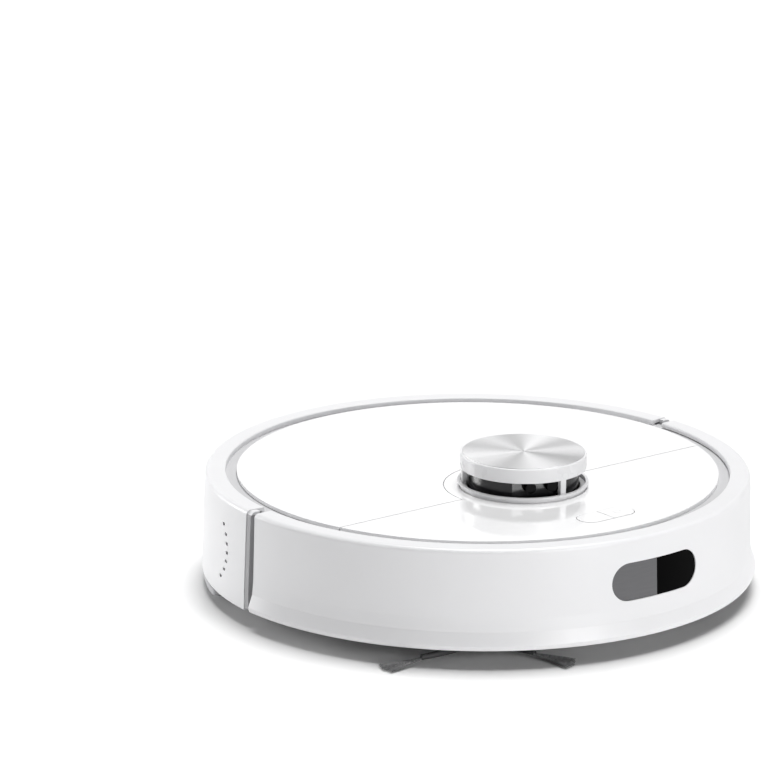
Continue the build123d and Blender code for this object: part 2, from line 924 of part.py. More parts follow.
# Spinning lidar head: a dark drum on a bearing spigot, with its flat face for the lenses.
lens_x, lens_y = at_azimuth(lens_azimuth, drum_face)
lens_height = (deck_height + flange_top + band_top) / 2
lens_plane = outward(lens_azimuth, drum_face, lens_height)
lens_plane.origin = Vector(lens_x, lens_y + turret_y, lens_height)
drum_bottom = cup_floor + drum_lift
drum_top = band_top - window_gap
with BuildPart() as lidar_drum:
    with BuildSketch(upright(0, turret_y)):
        with BuildLine():
            Polyline(
                (0, cup_floor - turret_floor),
                (bearing_radius, cup_floor - turret_floor),
                (bearing_radius, drum_bottom),
                (drum_radius, drum_bottom),
                (drum_radius, drum_top),
                (0, drum_top),
                close=True,
            )
        make_face()
    revolve(axis=vertical(0, turret_y))
    with BuildSketch(lens_plane):
        Rectangle(drum_face_width, reach)
    extrude(amount=drum_radius, mode=Mode.SUBTRACT)
save(lidar_drum, "lidar_drum")

# Two lens barrels on the drum's flat face.
with BuildPart() as lidar_lenses:
    with BuildSketch(lens_plane):
        with Locations((lens_spacing / 2, 0), (-lens_spacing / 2, 0)):
            Circle(lens_radius)
    extrude(amount=lens_length)
save(lidar_lenses, "lidar_lenses")

# Chassis pan: floor, wheel wells, brush tunnel, duct, board posts and mop rails.
gearbox_outer_x = gearbox_inner_x + gearbox_width
tyre_inner_x = tyre_x - tyre_width / 2
tyre_outer_x = tyre_x + tyre_width / 2
wheel_well_inner = gearbox_outer_x + slot_side_gap
wheel_well_outer = tyre_outer_x + wheel_gap
wheel_well_back = wheel_y - wheel_radius - wheel_gap
wheel_well_front = wheel_y + wheel_radius + front_gap
gear_well_inner = gearbox_inner_x - well_gap
gear_well_outer = gearbox_outer_x + slot_side_gap * 2
gear_well_back = wheel_y - gearbox_radius - 2 * well_gap
gear_well_front = pivot_y + pivot_boss + well_gap


def well_outline(growth):
    with BuildSketch() as outline:
        for side in (1, -1):
            middle = side * (wheel_well_inner + wheel_well_outer) / 2
            with Locations((middle, (wheel_well_back + wheel_well_front) / 2)):
                Rectangle(
                    wheel_well_outer - wheel_well_inner + 2 * growth,
                    wheel_well_front - wheel_well_back + 2 * growth,
                )
            middle = side * (gear_well_inner + gear_well_outer) / 2
            with Locations((middle, (gear_well_back + gear_well_front) / 2)):
                Rectangle(
                    gear_well_outer - gear_well_inner + 2 * growth,
                    gear_well_front - gear_well_back + 2 * growth,
                )
    return outline.sketch


tunnel_outer = chamber_radius + chamber_wall
tunnel_end = chamber_half + chamber_end_wall
duct_back = tub_front + tub_gap - door_gap
with BuildPart() as chassis_pan:
    with BuildSketch(Plane.XY.offset(pan_bottom)):
        Circle(frame_radius)
        with BuildLine():
            Polyline(*behind(seam_azimuth + 2 * seam_half_angle), close=True)
        make_face(mode=Mode.ADD)
        Circle(crease_radius - shell_wall - pan_edge_gap, mode=Mode.INTERSECT)
    extrude(amount=pan_thickness)
    with BuildSketch(Plane.XY.offset(pan_bottom)):
        add(well_outline(well_wall))
    extrude(amount=recess_bottom - pan_bottom)
    with BuildSketch(Plane.YZ.offset(-tunnel_end)):
        with Locations((brush_y, brush_z)):
            Circle(tunnel_outer)
        with Locations((brush_y, pan_bottom)):
            Rectangle(
                2 * tunnel_outer, brush_z - pan_bottom, align=(Align.CENTER, Align.MIN)
            )
            Rectangle(
                2 * reach, reach, align=(Align.CENTER, Align.MAX), mode=Mode.SUBTRACT
            )
    extrude(amount=2 * tunnel_end)
    with BuildSketch(Plane.XZ.offset(-brush_y)):
        with Locations((0, (duct_low + duct_high) / 2)):
            Rectangle(
                2 * (duct_half_width + duct_wall), duct_high - duct_low + 2 * duct_wall
            )
    extrude(amount=brush_y - duct_back)
    with BuildSketch(Plane.XZ.offset(-brush_y)):
        with Locations((0, (duct_low + duct_high) / 2)):
            Rectangle(2 * duct_half_width, duct_high - duct_low)
    extrude(amount=brush_y - duct_back, mode=Mode.SUBTRACT)
    with BuildSketch(Plane.YZ.offset(-chamber_half)):
        with Locations((brush_y, brush_z)):
            Circle(chamber_radius)
        with Locations((brush_y, brush_z)):
            Rectangle(2 * chamber_radius, reach, align=(Align.CENTER, Align.MAX))
    extrude(amount=2 * chamber_half, mode=Mode.SUBTRACT)
    with BuildSketch(Plane.YZ.offset(-tunnel_end)):
        with Locations((brush_y, brush_z)):
            Circle(bearing_radius + running_clearance)
    extrude(amount=2 * tunnel_end, mode=Mode.SUBTRACT)
    with BuildSketch(Plane.XY.offset(low)):
        add(well_outline(0))
    extrude(amount=recess_bottom - well_roof - low, mode=Mode.SUBTRACT)
    with BuildSketch(Plane.XY.offset(low)):
        with Locations((0, caster_y)):
            Circle(socket_radius)
        with Locations(at_azimuth(side_brush_azimuth, side_brush_ring)):
            Circle(stem_radius + shaft_hole_gap)
    extrude(amount=reach, mode=Mode.SUBTRACT)
    post_rows = (board_back + board_post_margin, board_front - board_post_margin)
    with BuildSketch(Plane.XY.offset(pan_top)):
        for row in post_rows:
            with Locations((board_post_x, row), (-board_post_x, row)):
                Circle(board_post_radius)
    extrude(amount=post_height)
    with BuildSketch(Plane.XY.offset(pan_bottom)):
        with Locations((0, (battery_front + battery_back) / 2)):
            RectangleRounded(
                2 * (battery_half_width + door_margin),
                battery_front - battery_back + 2 * door_margin,
                battery_corner,
            )
        for azimuth in cliff_azimuths:
            with Locations(at_azimuth(azimuth, frame_radius - cliff_inset)):
                RectangleRounded(
                    cliff_length + door_gap, cliff_width + door_gap, cliff_corner,
                    rotation=-azimuth,
                )
    extrude(amount=cliff_depth, mode=Mode.SUBTRACT)
    rail_top = pan_bottom - rail_neck_length
    with BuildSketch(Plane.XZ.offset(-rail_front)):
        with Locations((rail_x, rail_top), (-rail_x, rail_top)):
            Rectangle(rail_neck, rail_neck_length, align=(Align.CENTER, Align.MIN))
            Rectangle(rail_head, rail_head_thickness, align=(Align.CENTER, Align.MAX))
    extrude(amount=rail_front - rail_back)
save(chassis_pan, "chassis_pan")

# Battery door, flush in its pocket, and the battery above the pan's floor.
battery_middle = (battery_front + battery_back) / 2
with BuildPart() as battery_door:
    with BuildSketch(Plane.XY.offset(pan_bottom)):
        with Locations((0, battery_middle)):
            RectangleRounded(
                2 * (battery_half_width + door_margin - door_gap),
                battery_front - battery_back + 2 * (door_margin - door_gap),
                battery_corner - door_gap,
            )
    extrude(amount=door_depth)
save(battery_door, "battery_door")

with BuildPart() as battery:
    with BuildSketch(Plane.XY.offset(pan_top)):
        with Locations((0, battery_middle)):
            RectangleRounded(
                2 * battery_half_width, battery_front - battery_back, battery_corner
            )
    extrude(amount=battery_height)
save(battery, "battery")

# Circuit board on its four posts.
with BuildPart() as main_board:
    with BuildSketch(Plane.XY.offset(pan_top + post_height)):
        with Locations((0, (board_front + board_back) / 2)):
            Rectangle(2 * board_half_width, board_front - board_back)
    extrude(amount=board_thickness)
save(main_board, "main_board")

# Cliff sensor lenses, flush with the underside.
for index, azimuth in enumerate(cliff_azimuths):
    with BuildPart() as cliff_lens:
        with BuildSketch(Plane.XY.offset(pan_bottom)):
            with Locations(at_azimuth(azimuth, frame_radius - cliff_inset)):
                RectangleRounded(
                    cliff_length, cliff_width, cliff_corner, rotation=-azimuth
                )
        extrude(amount=cliff_depth)
    save(cliff_lens, f"cliff_lens_{index + 1}")

# Lidar drive motor under the top plate.
with BuildPart() as lidar_motor:
    with BuildSketch(Plane.XY.offset(plate_bottom - lidar_motor_length)):
        with Locations((lidar_motor_x, lidar_motor_y)):
            Circle(lidar_motor_radius)
    extrude(amount=lidar_motor_length)
save(lidar_motor, "lidar_motor")

# Loudspeaker against the frame's wall, behind the row of holes.
with BuildPart() as speaker:
    speaker_face = frame_radius - frame_wall
    with BuildSketch(outward(hole_azimuth, speaker_face - speaker_depth, speaker_z)):
        Circle(speaker_radius)
    extrude(amount=2 * speaker_depth)
    with BuildSketch(Plane.XY.offset(low)):
        Circle(speaker_face)
    extrude(amount=reach, mode=Mode.INTERSECT)
save(speaker, "speaker")

# Dust tub: an open box that hangs by its flange, with an inlet and an outlet.
with BuildPart() as dust_tub:
    with BuildSketch(Plane.XY.offset(tub_bottom)):
        add(tub_outline(0))
    extrude(amount=recess_floor - tub_bottom)
    with BuildSketch(Plane.XY.offset(recess_floor)):
        add(tub_outline(tub_flange))
    extrude(amount=tub_flange_thickness)
    with BuildSketch(Plane.XY.offset(tub_bottom + tub_wall)):
        add(tub_outline(-tub_wall))
    extrude(amount=reach, mode=Mode.SUBTRACT)
    with BuildSketch(Plane.XZ.offset(-tub_front - tub_flange)):
        with Locations((0, (duct_low + duct_high) / 2)):
            Rectangle(2 * duct_half_width, duct_high - duct_low)
    extrude(amount=2 * tub_flange, mode=Mode.SUBTRACT)
    with BuildSketch(Plane.XZ.offset(-tub_back - tub_flange)):
        with Locations((0, (filter_low + filter_high) / 2)):
            Rectangle(2 * outlet_half_width, filter_high - filter_low - 2 * tub_flange)
    extrude(amount=2 * tub_flange, mode=Mode.SUBTRACT)
save(dust_tub, "dust_tub")

# Pleated filter block inside the tub's rear wall.
with BuildPart() as dust_filter:
    with BuildSketch(Plane.XZ.offset(-tub_back - tub_wall - filter_thickness)):
        with Locations((0, (filter_low + filter_high) / 2)):
            Rectangle(2 * filter_half_width - 2 * tub_wall, filter_high - filter_low)
    extrude(amount=filter_thickness)
save(dust_filter, "dust_filter")

# Tub cover with a grip bar between two finger slots.
with BuildPart() as tub_cover:
    with BuildSketch(Plane.XY.offset(recess_floor + tub_flange_thickness)):
        add(tub_outline(tub_flange))
        slot_offset = (handle_bar + handle_slot_width) / 2
        tub_middle = (tub_front + tub_back) / 2
        with Locations((0, tub_middle + slot_offset), (0, tub_middle - slot_offset)):
            SlotOverall(handle_slot_length, handle_slot_width, mode=Mode.SUBTRACT)
    extrude(amount=tub_cover_thickness)
save(tub_cover, "tub_cover")

# Suction fan under the recess, with its impeller.
fan_cavity = fan_radius - fan_wall
with BuildPart() as fan_housing:
    with BuildSketch(Plane.XY.offset(fan_bottom)):
        with Locations((fan_x, fan_y)):
            Circle(fan_radius)
    extrude(amount=recess_bottom - fan_bottom)
    with BuildSketch(Plane.XY.offset(fan_bottom + fan_skin)):
        with Locations((fan_x, fan_y)):
            Circle(fan_cavity)
    extrude(amount=recess_bottom - fan_bottom - 2 * fan_skin, mode=Mode.SUBTRACT)
    with BuildSketch(Plane.XY.offset(recess_bottom - fan_skin)):
        with Locations((fan_x, fan_y)):
            Circle(fan_inlet_radius)
    extrude(amount=fan_skin, mode=Mode.SUBTRACT)
    with BuildSketch(Plane.XY.offset(fan_bottom)):
        with Locations((fan_x, fan_y)):
            Circle(fan_shaft_radius + running_clearance)
    extrude(amount=fan_skin, mode=Mode.SUBTRACT)
save(fan_housing, "fan_housing")

with BuildPart() as impeller:
    impeller_bottom = fan_bottom + fan_skin + impeller_disc
    impeller_radius = fan_cavity - impeller_gap
    with BuildSketch(Plane.XY.offset(fan_bottom)):
        with Locations((fan_x, fan_y)):
            Circle(fan_shaft_radius)
    extrude(amount=impeller_bottom - fan_bottom)
    with BuildSketch(Plane.XY.offset(impeller_bottom)):
        with Locations((fan_x, fan_y)):
            Circle(impeller_radius)
    extrude(amount=impeller_disc)
    with BuildSketch(Plane.XY.offset(impeller_bottom + impeller_disc)):
        with Locations((fan_x, fan_y)):
            Circle(impeller_hub_radius)
            with PolarLocations(0, blade_count):
                with Locations((impeller_radius / 2, 0)):
                    Rectangle(impeller_radius - blade_thickness, blade_thickness)
    extrude(amount=blade_height)
save(impeller, "impeller")

# Main brush: a core on two stub shafts, and its rubber fins.
with BuildPart() as brush_core:
    with BuildSketch(Plane.YZ.offset(-brush_length / 2)):
        with Locations((brush_y, brush_z)):
            Circle(brush_core_radius)
    extrude(amount=brush_length)
    with BuildSketch(Plane.YZ.offset(-tunnel_end)):
        with Locations((brush_y, brush_z)):
            Circle(bearing_radius)
    extrude(amount=2 * tunnel_end)
save(brush_core, "brush_core")

with BuildPart() as brush_fins:
    with BuildSketch(Plane.YZ.offset(-brush_length / 2)):
        with Locations((brush_y, brush_z)):
            with PolarLocations(0, brush_fin_count):
                with Locations((brush_radius / 2, 0)):
                    Rectangle(brush_radius, brush_fin)
            Circle(brush_radius, mode=Mode.INTERSECT)
            Circle(brush_core_radius, mode=Mode.SUBTRACT)
    extrude(amount=brush_length)
save(brush_fins, "brush_fins")

# Guard frame that holds the main brush in from below.
with BuildPart() as brush_guard:
    with BuildSketch(Plane.XY.offset(pan_bottom - guard_depth)):
        with Locations((0, brush_y)):
            guard_length = 2 * (chamber_half + guard_margin)
            guard_width = 2 * (chamber_radius + guard_side_margin)
            RectangleRounded(guard_length, guard_width, guard_margin)
            RectangleRounded(
                2 * chamber_half, 2 * chamber_radius, guard_opening_margin, mode=Mode.SUBTRACT
            )
    extrude(amount=guard_depth)
    chamfer(
        brush_guard.faces().sort_by(Axis.Z)[0].outer_wire().edges(), length=guard_depth / 2
    )
save(brush_guard, "brush_guard")

# Main brush gearbox and motor beside the tunnel's left end.
with BuildPart() as brush_motor:
    gear_right = -tunnel_end
    with BuildSketch(Plane.YZ.offset(gear_right - brush_gear_width)):
        with Locations((brush_y - guard_margin, pan_top)):
            Rectangle(
                brush_gear_depth, 2 * motor_radius + brush_gear_width,
                align=(Align.CENTER, Align.MIN),
            )
    extrude(amount=brush_gear_width)
    motor_y = wheel_well_back - well_wall - well_gap / 2 - motor_radius
    with BuildSketch(Plane.YZ.offset(gear_right - brush_gear_width - motor_length)):
        with Locations((motor_y, pan_top + motor_radius)):
            Circle(motor_radius)
    extrude(amount=motor_length)
save(brush_motor, "brush_motor")

# Drive wheels: swing arms with their gearboxes, pivot pins, rims and tyres.
for side, name in ((1, "right"), (-1, "left")):
    arm_plane = Plane.YZ.offset(gearbox_inner_x if side > 0 else -gearbox_outer_x)
    with BuildPart() as drive_arm:
        with BuildSketch(arm_plane):
            with Locations((wheel_y, wheel_radius)):
                Circle(gearbox_radius)
            with Locations((pivot_y, pivot_z)):
                Circle(pivot_boss)
            make_hull()
            with Locations((wheel_y, wheel_radius)):
                Circle(axle_radius + running_clearance, mode=Mode.SUBTRACT)
            with Locations((pivot_y, pivot_z)):
                Circle(pivot_radius + running_clearance, mode=Mode.SUBTRACT)
        extrude(amount=gearbox_width)
    save(drive_arm, f"drive_arm_{name}")
    pin_start = gear_well_inner if side > 0 else -gear_well_outer
    with BuildPart() as pivot_pin:
        with BuildSketch(Plane.YZ.offset(pin_start)):
            with Locations((pivot_y, pivot_z)):
                Circle(pivot_radius)
        extrude(amount=gear_well_outer - gear_well_inner)
    save(pivot_pin, f"pivot_pin_{name}")
    tyre_start = tyre_inner_x if side > 0 else -tyre_outer_x
    with BuildPart() as tyre:
        with BuildSketch(Plane.YZ.offset(tyre_start)):
            with Locations((wheel_y, wheel_radius)):
                Circle(wheel_radius)
                Circle(wheel_radius - tyre_depth, mode=Mode.SUBTRACT)
        extrude(amount=tyre_width)
    save(tyre, f"tyre_{name}")
    axle_start = gearbox_inner_x if side > 0 else -tyre_inner_x - rim_recess
    with BuildPart() as rim:
        with BuildSketch(Plane.YZ.offset(tyre_start + rim_recess)):
            with Locations((wheel_y, wheel_radius)):
                Circle(wheel_radius - tyre_depth)
                with PolarLocations(spoke_hole_ring, spoke_count):
                    Circle(spoke_hole_radius, mode=Mode.SUBTRACT)
        extrude(amount=tyre_width - 2 * rim_recess)
        with BuildSketch(Plane.YZ.offset(axle_start)):
            with Locations((wheel_y, wheel_radius)):
                Circle(axle_radius)
        extrude(amount=tyre_inner_x + rim_recess - gearbox_inner_x)
    save(rim, f"rim_{name}")

# Front caster: socket in the pan, swivelling fork, axle and wheel.
caster_wheel_y = caster_y - caster_trail
fork_half = caster_width / 2 + caster_gap
socket_top = fork_plate_z + fork_plate + socket_roof_gap + socket_roof
with BuildPart() as caster_socket:
    with BuildSketch(upright(0, caster_y)):
        with BuildLine():
            Polyline(
                (socket_cavity, pan_bottom),
                (socket_radius, pan_bottom),
                (socket_radius, pan_top),
                (socket_flange, pan_top),
                (socket_flange, pan_top + socket_flange_thickness),
                (socket_radius, pan_top + socket_flange_thickness),
                (socket_radius, socket_top),
                (stem_radius + running_clearance, socket_top),
                (stem_radius + running_clearance, socket_top - socket_roof),
                (socket_cavity, socket_top - socket_roof),
                close=True,
            )
        make_face()
    revolve(axis=vertical(0, caster_y))
save(caster_socket, "caster_socket")

with BuildPart() as caster_fork:
    with BuildSketch(Plane.XY.offset(fork_plate_z)):
        with Locations((0, caster_y)):
            Circle(fork_radius)
    extrude(amount=fork_plate)
    with BuildSketch(Plane.XY.offset(fork_plate_z)):
        with Locations((0, caster_y)):
            Circle(stem_radius)
    extrude(amount=fork_plate + stem_length)
    for start in (fork_half, -fork_half - cheek_width):
        with BuildSketch(Plane.YZ.offset(start)):
            with Locations((caster_wheel_y, caster_radius)):
                Circle(cheek_radius)
                Rectangle(
                    2 * cheek_radius, fork_plate_z - caster_radius + fork_plate / 2,
                    align=(Align.CENTER, Align.MIN),
                )
        extrude(amount=cheek_width)
    with BuildSketch(Plane.YZ.offset(-fork_half - cheek_width)):
        with Locations((caster_wheel_y, caster_radius)):
            Circle(caster_axle_radius)
    extrude(amount=2 * (fork_half + cheek_width), mode=Mode.SUBTRACT)
save(caster_fork, "caster_fork")

with BuildPart() as caster_axle:
    with BuildSketch(Plane.YZ.offset(-fork_half - cheek_width)):
        with Locations((caster_wheel_y, caster_radius)):
            Circle(caster_axle_radius)
    extrude(amount=2 * (fork_half + cheek_width))
save(caster_axle, "caster_axle")

with BuildPart() as caster_wheel:
    with BuildSketch(Plane.YZ.offset(-caster_width / 2)):
        with Locations((caster_wheel_y, caster_radius)):
            Circle(caster_radius)
            Circle(caster_axle_radius + running_clearance, mode=Mode.SUBTRACT)
    extrude(amount=caster_width)
    fillet(caster_wheel.edges().filter_by(GeomType.CIRCLE).group_by(
        lambda edge: round(edge.radius, 1))[-1], radius=caster_axle_radius)
save(caster_wheel, "caster_wheel")

# Side brush gearbox with its shaft, and the three-armed brush below it.
side_x, side_y = at_azimuth(side_brush_azimuth, side_brush_ring)
with BuildPart() as side_gearbox:
    with BuildSketch(Plane.XY.offset(pan_top)):
        with Locations((side_x, side_y)):
            Circle(side_gearbox_radius)
    extrude(amount=side_gearbox_top - pan_top)
    with BuildSketch(Plane.XY.offset(side_shaft_bottom)):
        with Locations((side_x, side_y)):
            Circle(stem_radius)
    extrude(amount=pan_top - side_shaft_bottom)
save(side_gearbox, "side_gearbox")

side_angle = 90 - side_arm_azimuth
with BuildPart() as side_brush_hub:
    with BuildSketch(Plane.XY.offset(side_hub_bottom)):
        with Locations((side_x, side_y)):
            Circle(side_hub_radius)
    extrude(amount=pan_bottom - side_hub_gap - side_hub_bottom)
    with BuildSketch(Plane.XY.offset(side_hub_bottom)):
        with Locations((side_x, side_y)):
            with PolarLocations(0, side_arm_count, start_angle=side_angle):
                with Locations((side_arm_length / 2, 0)):
                    Rectangle(side_arm_length, side_arm_width)
    extrude(amount=side_arm_top - side_hub_bottom)
    with BuildSketch(Plane.XY.offset(side_shaft_bottom - running_clearance)):
        with Locations((side_x, side_y)):
            Circle(stem_radius + running_clearance)
    extrude(amount=pan_bottom, mode=Mode.SUBTRACT)
save(side_brush_hub, "side_brush_hub")

with BuildPart() as side_tufts:
    with BuildSketch(Plane.XY.offset(side_tuft_bottom)):
        with Locations((side_x, side_y)):
            with PolarLocations(0, side_arm_count, start_angle=side_angle):
                Polygon(
                    (side_arm_length, side_arm_width / 2),
                    (side_arm_length, -side_arm_width / 2),
                    (side_tuft_length, -side_tuft_width / 2),
                    (side_tuft_length, side_tuft_width / 2),
                    align=None,
                )
    extrude(amount=side_tuft_top - side_tuft_bottom)
save(side_tufts, "side_tufts")


def mop_outline(inset):
    # A crescent: round behind, with two ears that reach forward beside the main brush.
    with BuildSketch() as outline:
        Circle(crease_radius - mop_inset - inset)
        with Locations((0, mop_ear_y - inset)):
            Rectangle(2 * reach, reach, align=(Align.CENTER, Align.MIN), mode=Mode.SUBTRACT)
        with Locations((0, mop_front_y - inset)):
            Rectangle(
                2 * (mop_ear_x + inset), reach, align=(Align.CENTER, Align.MIN),
                mode=Mode.SUBTRACT,
            )
        fillet(outline.vertices(), radius=mop_corner)
    return outline.sketch


mop_top = pan_bottom - mop_top_gap
mop_plate_bottom = mop_top - mop_thickness
with BuildPart() as mop_bracket:
    with BuildSketch(Plane.XY.offset(mop_plate_bottom)):
        add(mop_outline(0))
    extrude(amount=mop_thickness)
    with BuildSketch(Plane.XZ.offset(rail_clearance - rail_back)):
        for rail in (rail_x, -rail_x):
            with Locations((rail, rail_top + rail_clearance)):
                Rectangle(
                    rail_neck + 2 * rail_clearance, mop_thickness,
                    align=(Align.CENTER, Align.MIN),
                )
                Rectangle(
                    rail_head + 2 * rail_clearance,
                    rail_head_thickness + 2 * rail_clearance,
                    align=(Align.CENTER, Align.MAX),
                )
    extrude(amount=-reach, mode=Mode.SUBTRACT)
save(mop_bracket, "mop_bracket")

with BuildPart() as mop_pad:
    with BuildSketch(Plane.XY.offset(mop_pad_bottom)):
        add(mop_outline(mop_pad_inset))
    extrude(amount=mop_plate_bottom - mop_pad_bottom)
save(mop_pad, "mop_pad")
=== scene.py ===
import math
import random

import bmesh
import bpy
from mathutils import Matrix, Vector
from mathutils.noise import noise as noiseAt


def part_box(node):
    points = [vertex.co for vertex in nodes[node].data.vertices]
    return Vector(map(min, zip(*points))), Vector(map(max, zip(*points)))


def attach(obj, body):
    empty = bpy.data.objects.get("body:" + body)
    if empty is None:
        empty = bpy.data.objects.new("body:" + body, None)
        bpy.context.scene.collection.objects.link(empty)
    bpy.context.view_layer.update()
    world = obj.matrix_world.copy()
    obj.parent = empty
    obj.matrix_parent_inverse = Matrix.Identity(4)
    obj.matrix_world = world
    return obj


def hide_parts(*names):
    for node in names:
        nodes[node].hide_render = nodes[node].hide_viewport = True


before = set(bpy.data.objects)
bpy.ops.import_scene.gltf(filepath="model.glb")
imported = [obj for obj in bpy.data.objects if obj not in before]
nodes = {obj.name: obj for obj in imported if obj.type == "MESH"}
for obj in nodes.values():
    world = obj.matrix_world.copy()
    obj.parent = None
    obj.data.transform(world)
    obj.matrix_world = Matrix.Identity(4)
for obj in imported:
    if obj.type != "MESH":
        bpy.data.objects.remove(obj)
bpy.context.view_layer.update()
random.seed(7)
mm = 0.001
weldGap = 0.003 * mm    # vertices nearer than this are merged
print("frame loaded")


# Small helpers for shader graphs
def startMaterial(name, color, roughness, metallic=0.0):
    material = bpy.data.materials.new(name)
    material.use_nodes = True
    tree = material.node_tree
    shader = tree.nodes["Principled BSDF"]
    shader.inputs["Base Color"].default_value = (*color, 1.0)
    shader.inputs["Roughness"].default_value = roughness
    shader.inputs["Metallic"].default_value = metallic
    coords = tree.nodes.new("ShaderNodeTexCoord")
    return material, tree, shader, coords.outputs["Object"]


def centred(tree, vector, place, turn=(0, 0, 0), stretch=(1, 1, 1)):
    mapping = tree.nodes.new("ShaderNodeMapping")
    mapping.vector_type = "TEXTURE"
    mapping.inputs["Location"].default_value = place
    mapping.inputs["Rotation"].default_value = turn
    mapping.inputs["Scale"].default_value = stretch
    tree.links.new(vector, mapping.inputs["Vector"])
    return mapping.outputs["Vector"]


def noise(tree, vector, scale, detail=2.0, rough=0.5):
    node = tree.nodes.new("ShaderNodeTexNoise")
    node.inputs["Scale"].default_value = scale
    node.inputs["Detail"].default_value = detail
    node.inputs["Roughness"].default_value = rough
    tree.links.new(vector, node.inputs["Vector"])
    return node.outputs["Fac"]


def spread(tree, value, low, high, start=0.3, end=0.7):
    node = tree.nodes.new("ShaderNodeMapRange")
    node.inputs["From Min"].default_value = start
    node.inputs["From Max"].default_value = end
    node.inputs["To Min"].default_value = low
    node.inputs["To Max"].default_value = high
    tree.links.new(value, node.inputs["Value"])
    return node.outputs["Result"]


def tint(tree, value, dark, light, start=0.3, end=0.7):
    ramp = tree.nodes.new("ShaderNodeValToRGB")
    ramp.color_ramp.elements[0].position = start
    ramp.color_ramp.elements[0].color = (*dark, 1.0)
    ramp.color_ramp.elements[1].position = end
    ramp.color_ramp.elements[1].color = (*light, 1.0)
    tree.links.new(value, ramp.inputs["Fac"])
    return ramp.outputs["Color"]


def bump(tree, shader, height, strength, distance):
    node = tree.nodes.new("ShaderNodeBump")
    node.inputs["Strength"].default_value = strength
    node.inputs["Distance"].default_value = distance
    tree.links.new(height, node.inputs["Height"])
    tree.links.new(node.outputs["Normal"], shader.inputs["Normal"])
    return node


def wave(tree, vector, scale, direction="X", kind="BANDS"):
    node = tree.nodes.new("ShaderNodeTexWave")
    node.wave_type = kind
    if kind == "BANDS":
        node.bands_direction = direction
    node.inputs["Scale"].default_value = scale
    tree.links.new(vector, node.inputs["Vector"])
    return node.outputs["Fac"]


def scaled(color, factor):
    return tuple(min(1.0, part * factor) for part in color)


# Moulded plastic: a fine spark-eroded grain, a slow drift of tone and patchy roughness
def mouldedPlastic(name, color, roughness, grain=1400.0, depth=0.02, drift=0.03, specular=0.5):
    material, tree, shader, vector = startMaterial(name, color, roughness)
    shader.inputs["Specular IOR Level"].default_value = specular
    slow = noise(tree, vector, 14.0, 3.0)
    fine = noise(tree, vector, grain, 2.0)
    patch = noise(tree, vector, 60.0, 4.0)
    tree.links.new(
        tint(tree, slow, scaled(color, 1 - drift), scaled(color, 1 + drift)),
        shader.inputs["Base Color"],
    )
    tree.links.new(
        spread(tree, patch, roughness - 0.05, roughness + 0.06), shader.inputs["Roughness"]
    )
    bump(tree, shader, fine, 0.35, depth * mm)
    return material


# Painted reflection on the spun disc: base colour lighter and darker by angle, sectors of painted
# highlight and painted shade, the same at both ends
paintedDiscReflection = (
    (0.0, 0.88), (0.98, 0.88), (0.08, 1.18), (0.17, 0.62), (0.26, 1.1), (0.38, 0.76),
    (0.5, 1.18), (0.6, 0.64), (0.7, 1.08), (0.84, 0.7),
)


# Clear-coated white of the deck: polished, with faint orange peel and hairline swirls
def polishedPlastic(name, color, roughness=0.06, coat=1.0, peel=0.006):
    material, tree, shader, vector = startMaterial(name, color, roughness)
    shader.inputs["Coat Weight"].default_value = coat
    shader.inputs["Coat Roughness"].default_value = 0.03
    slow = noise(tree, vector, 9.0, 2.0)
    hair = noise(tree, centred(tree, vector, (0, 0, 0), stretch=(0.02, 1, 1)), 30.0, 5.0)
    tree.links.new(
        tint(tree, slow, scaled(color, 0.985), scaled(color, 1.01)), shader.inputs["Base Color"]
    )
    tree.links.new(spread(tree, hair, roughness, roughness + 0.05), shader.inputs["Roughness"])
    peelHeight = noise(tree, vector, 220.0, 1.0)
    bump(tree, shader, peelHeight, 0.12, peel * mm)
    return material


# Infrared pane or lens: dark and smooth with very little shine, and faint wiping marks
def tintedPane(name, color, roughness):
    material, tree, shader, vector = startMaterial(name, color, roughness)
    shader.inputs["Specular IOR Level"].default_value = 0.03
    wiped = noise(tree, centred(tree, vector, (0, 0, 0), stretch=(1, 1, 0.1)), 70.0, 4.0)
    tree.links.new(tint(tree, wiped, scaled(color, 0.97), scaled(color, 1.03)),
                   shader.inputs["Base Color"])
    tree.links.new(spread(tree, wiped, roughness, roughness + 0.08), shader.inputs["Roughness"])
    bump(tree, shader, wiped, 0.05, 0.004 * mm)
    return material


# Turned metal: fine rings about the turret's axis and a highlight stretched along them; the base colour
# also holds a painted reflection, lighter and darker sectors by angle
def spunMetal(name, color, centre):
    material, tree, shader, vector = startMaterial(name, color, 0.3, 0.45)
    shader.inputs["Anisotropic"].default_value = 0.9
    local = centred(tree, vector, centre)
    rings = tree.nodes.new("ShaderNodeTexWave")
    rings.wave_type = "RINGS"
    rings.rings_direction = "Z"
    rings.inputs["Scale"].default_value = 420.0
    rings.inputs["Distortion"].default_value = 1.5
    tree.links.new(local, rings.inputs["Vector"])
    around = tree.nodes.new("ShaderNodeTexGradient")
    around.gradient_type = "RADIAL"
    tree.links.new(local, around.inputs["Vector"])
    # Painted reflection: the base colour steps lighter and darker by angle around the axis
    paintedReflectionRamp = tree.nodes.new("ShaderNodeValToRGB")
    paintedReflectionRamp.color_ramp.interpolation = "EASE"
    for index, (place, paintedLightLevel) in enumerate(paintedDiscReflection):
        if index < 2:
            stop = paintedReflectionRamp.color_ramp.elements[index]
            stop.position = place
        else:
            stop = paintedReflectionRamp.color_ramp.elements.new(place)
        stop.color = (*scaled(color, paintedLightLevel), 1.0)
    tree.links.new(around.outputs["Fac"], paintedReflectionRamp.inputs["Fac"])
    tree.links.new(paintedReflectionRamp.outputs["Color"], shader.inputs["Base Color"])
    tree.links.new(spread(tree, rings.outputs["Fac"], 0.24, 0.36, 0.0, 1.0),
                   shader.inputs["Roughness"])
    bump(tree, shader, rings.outputs["Fac"], 0.25, 0.01 * mm)
    return material
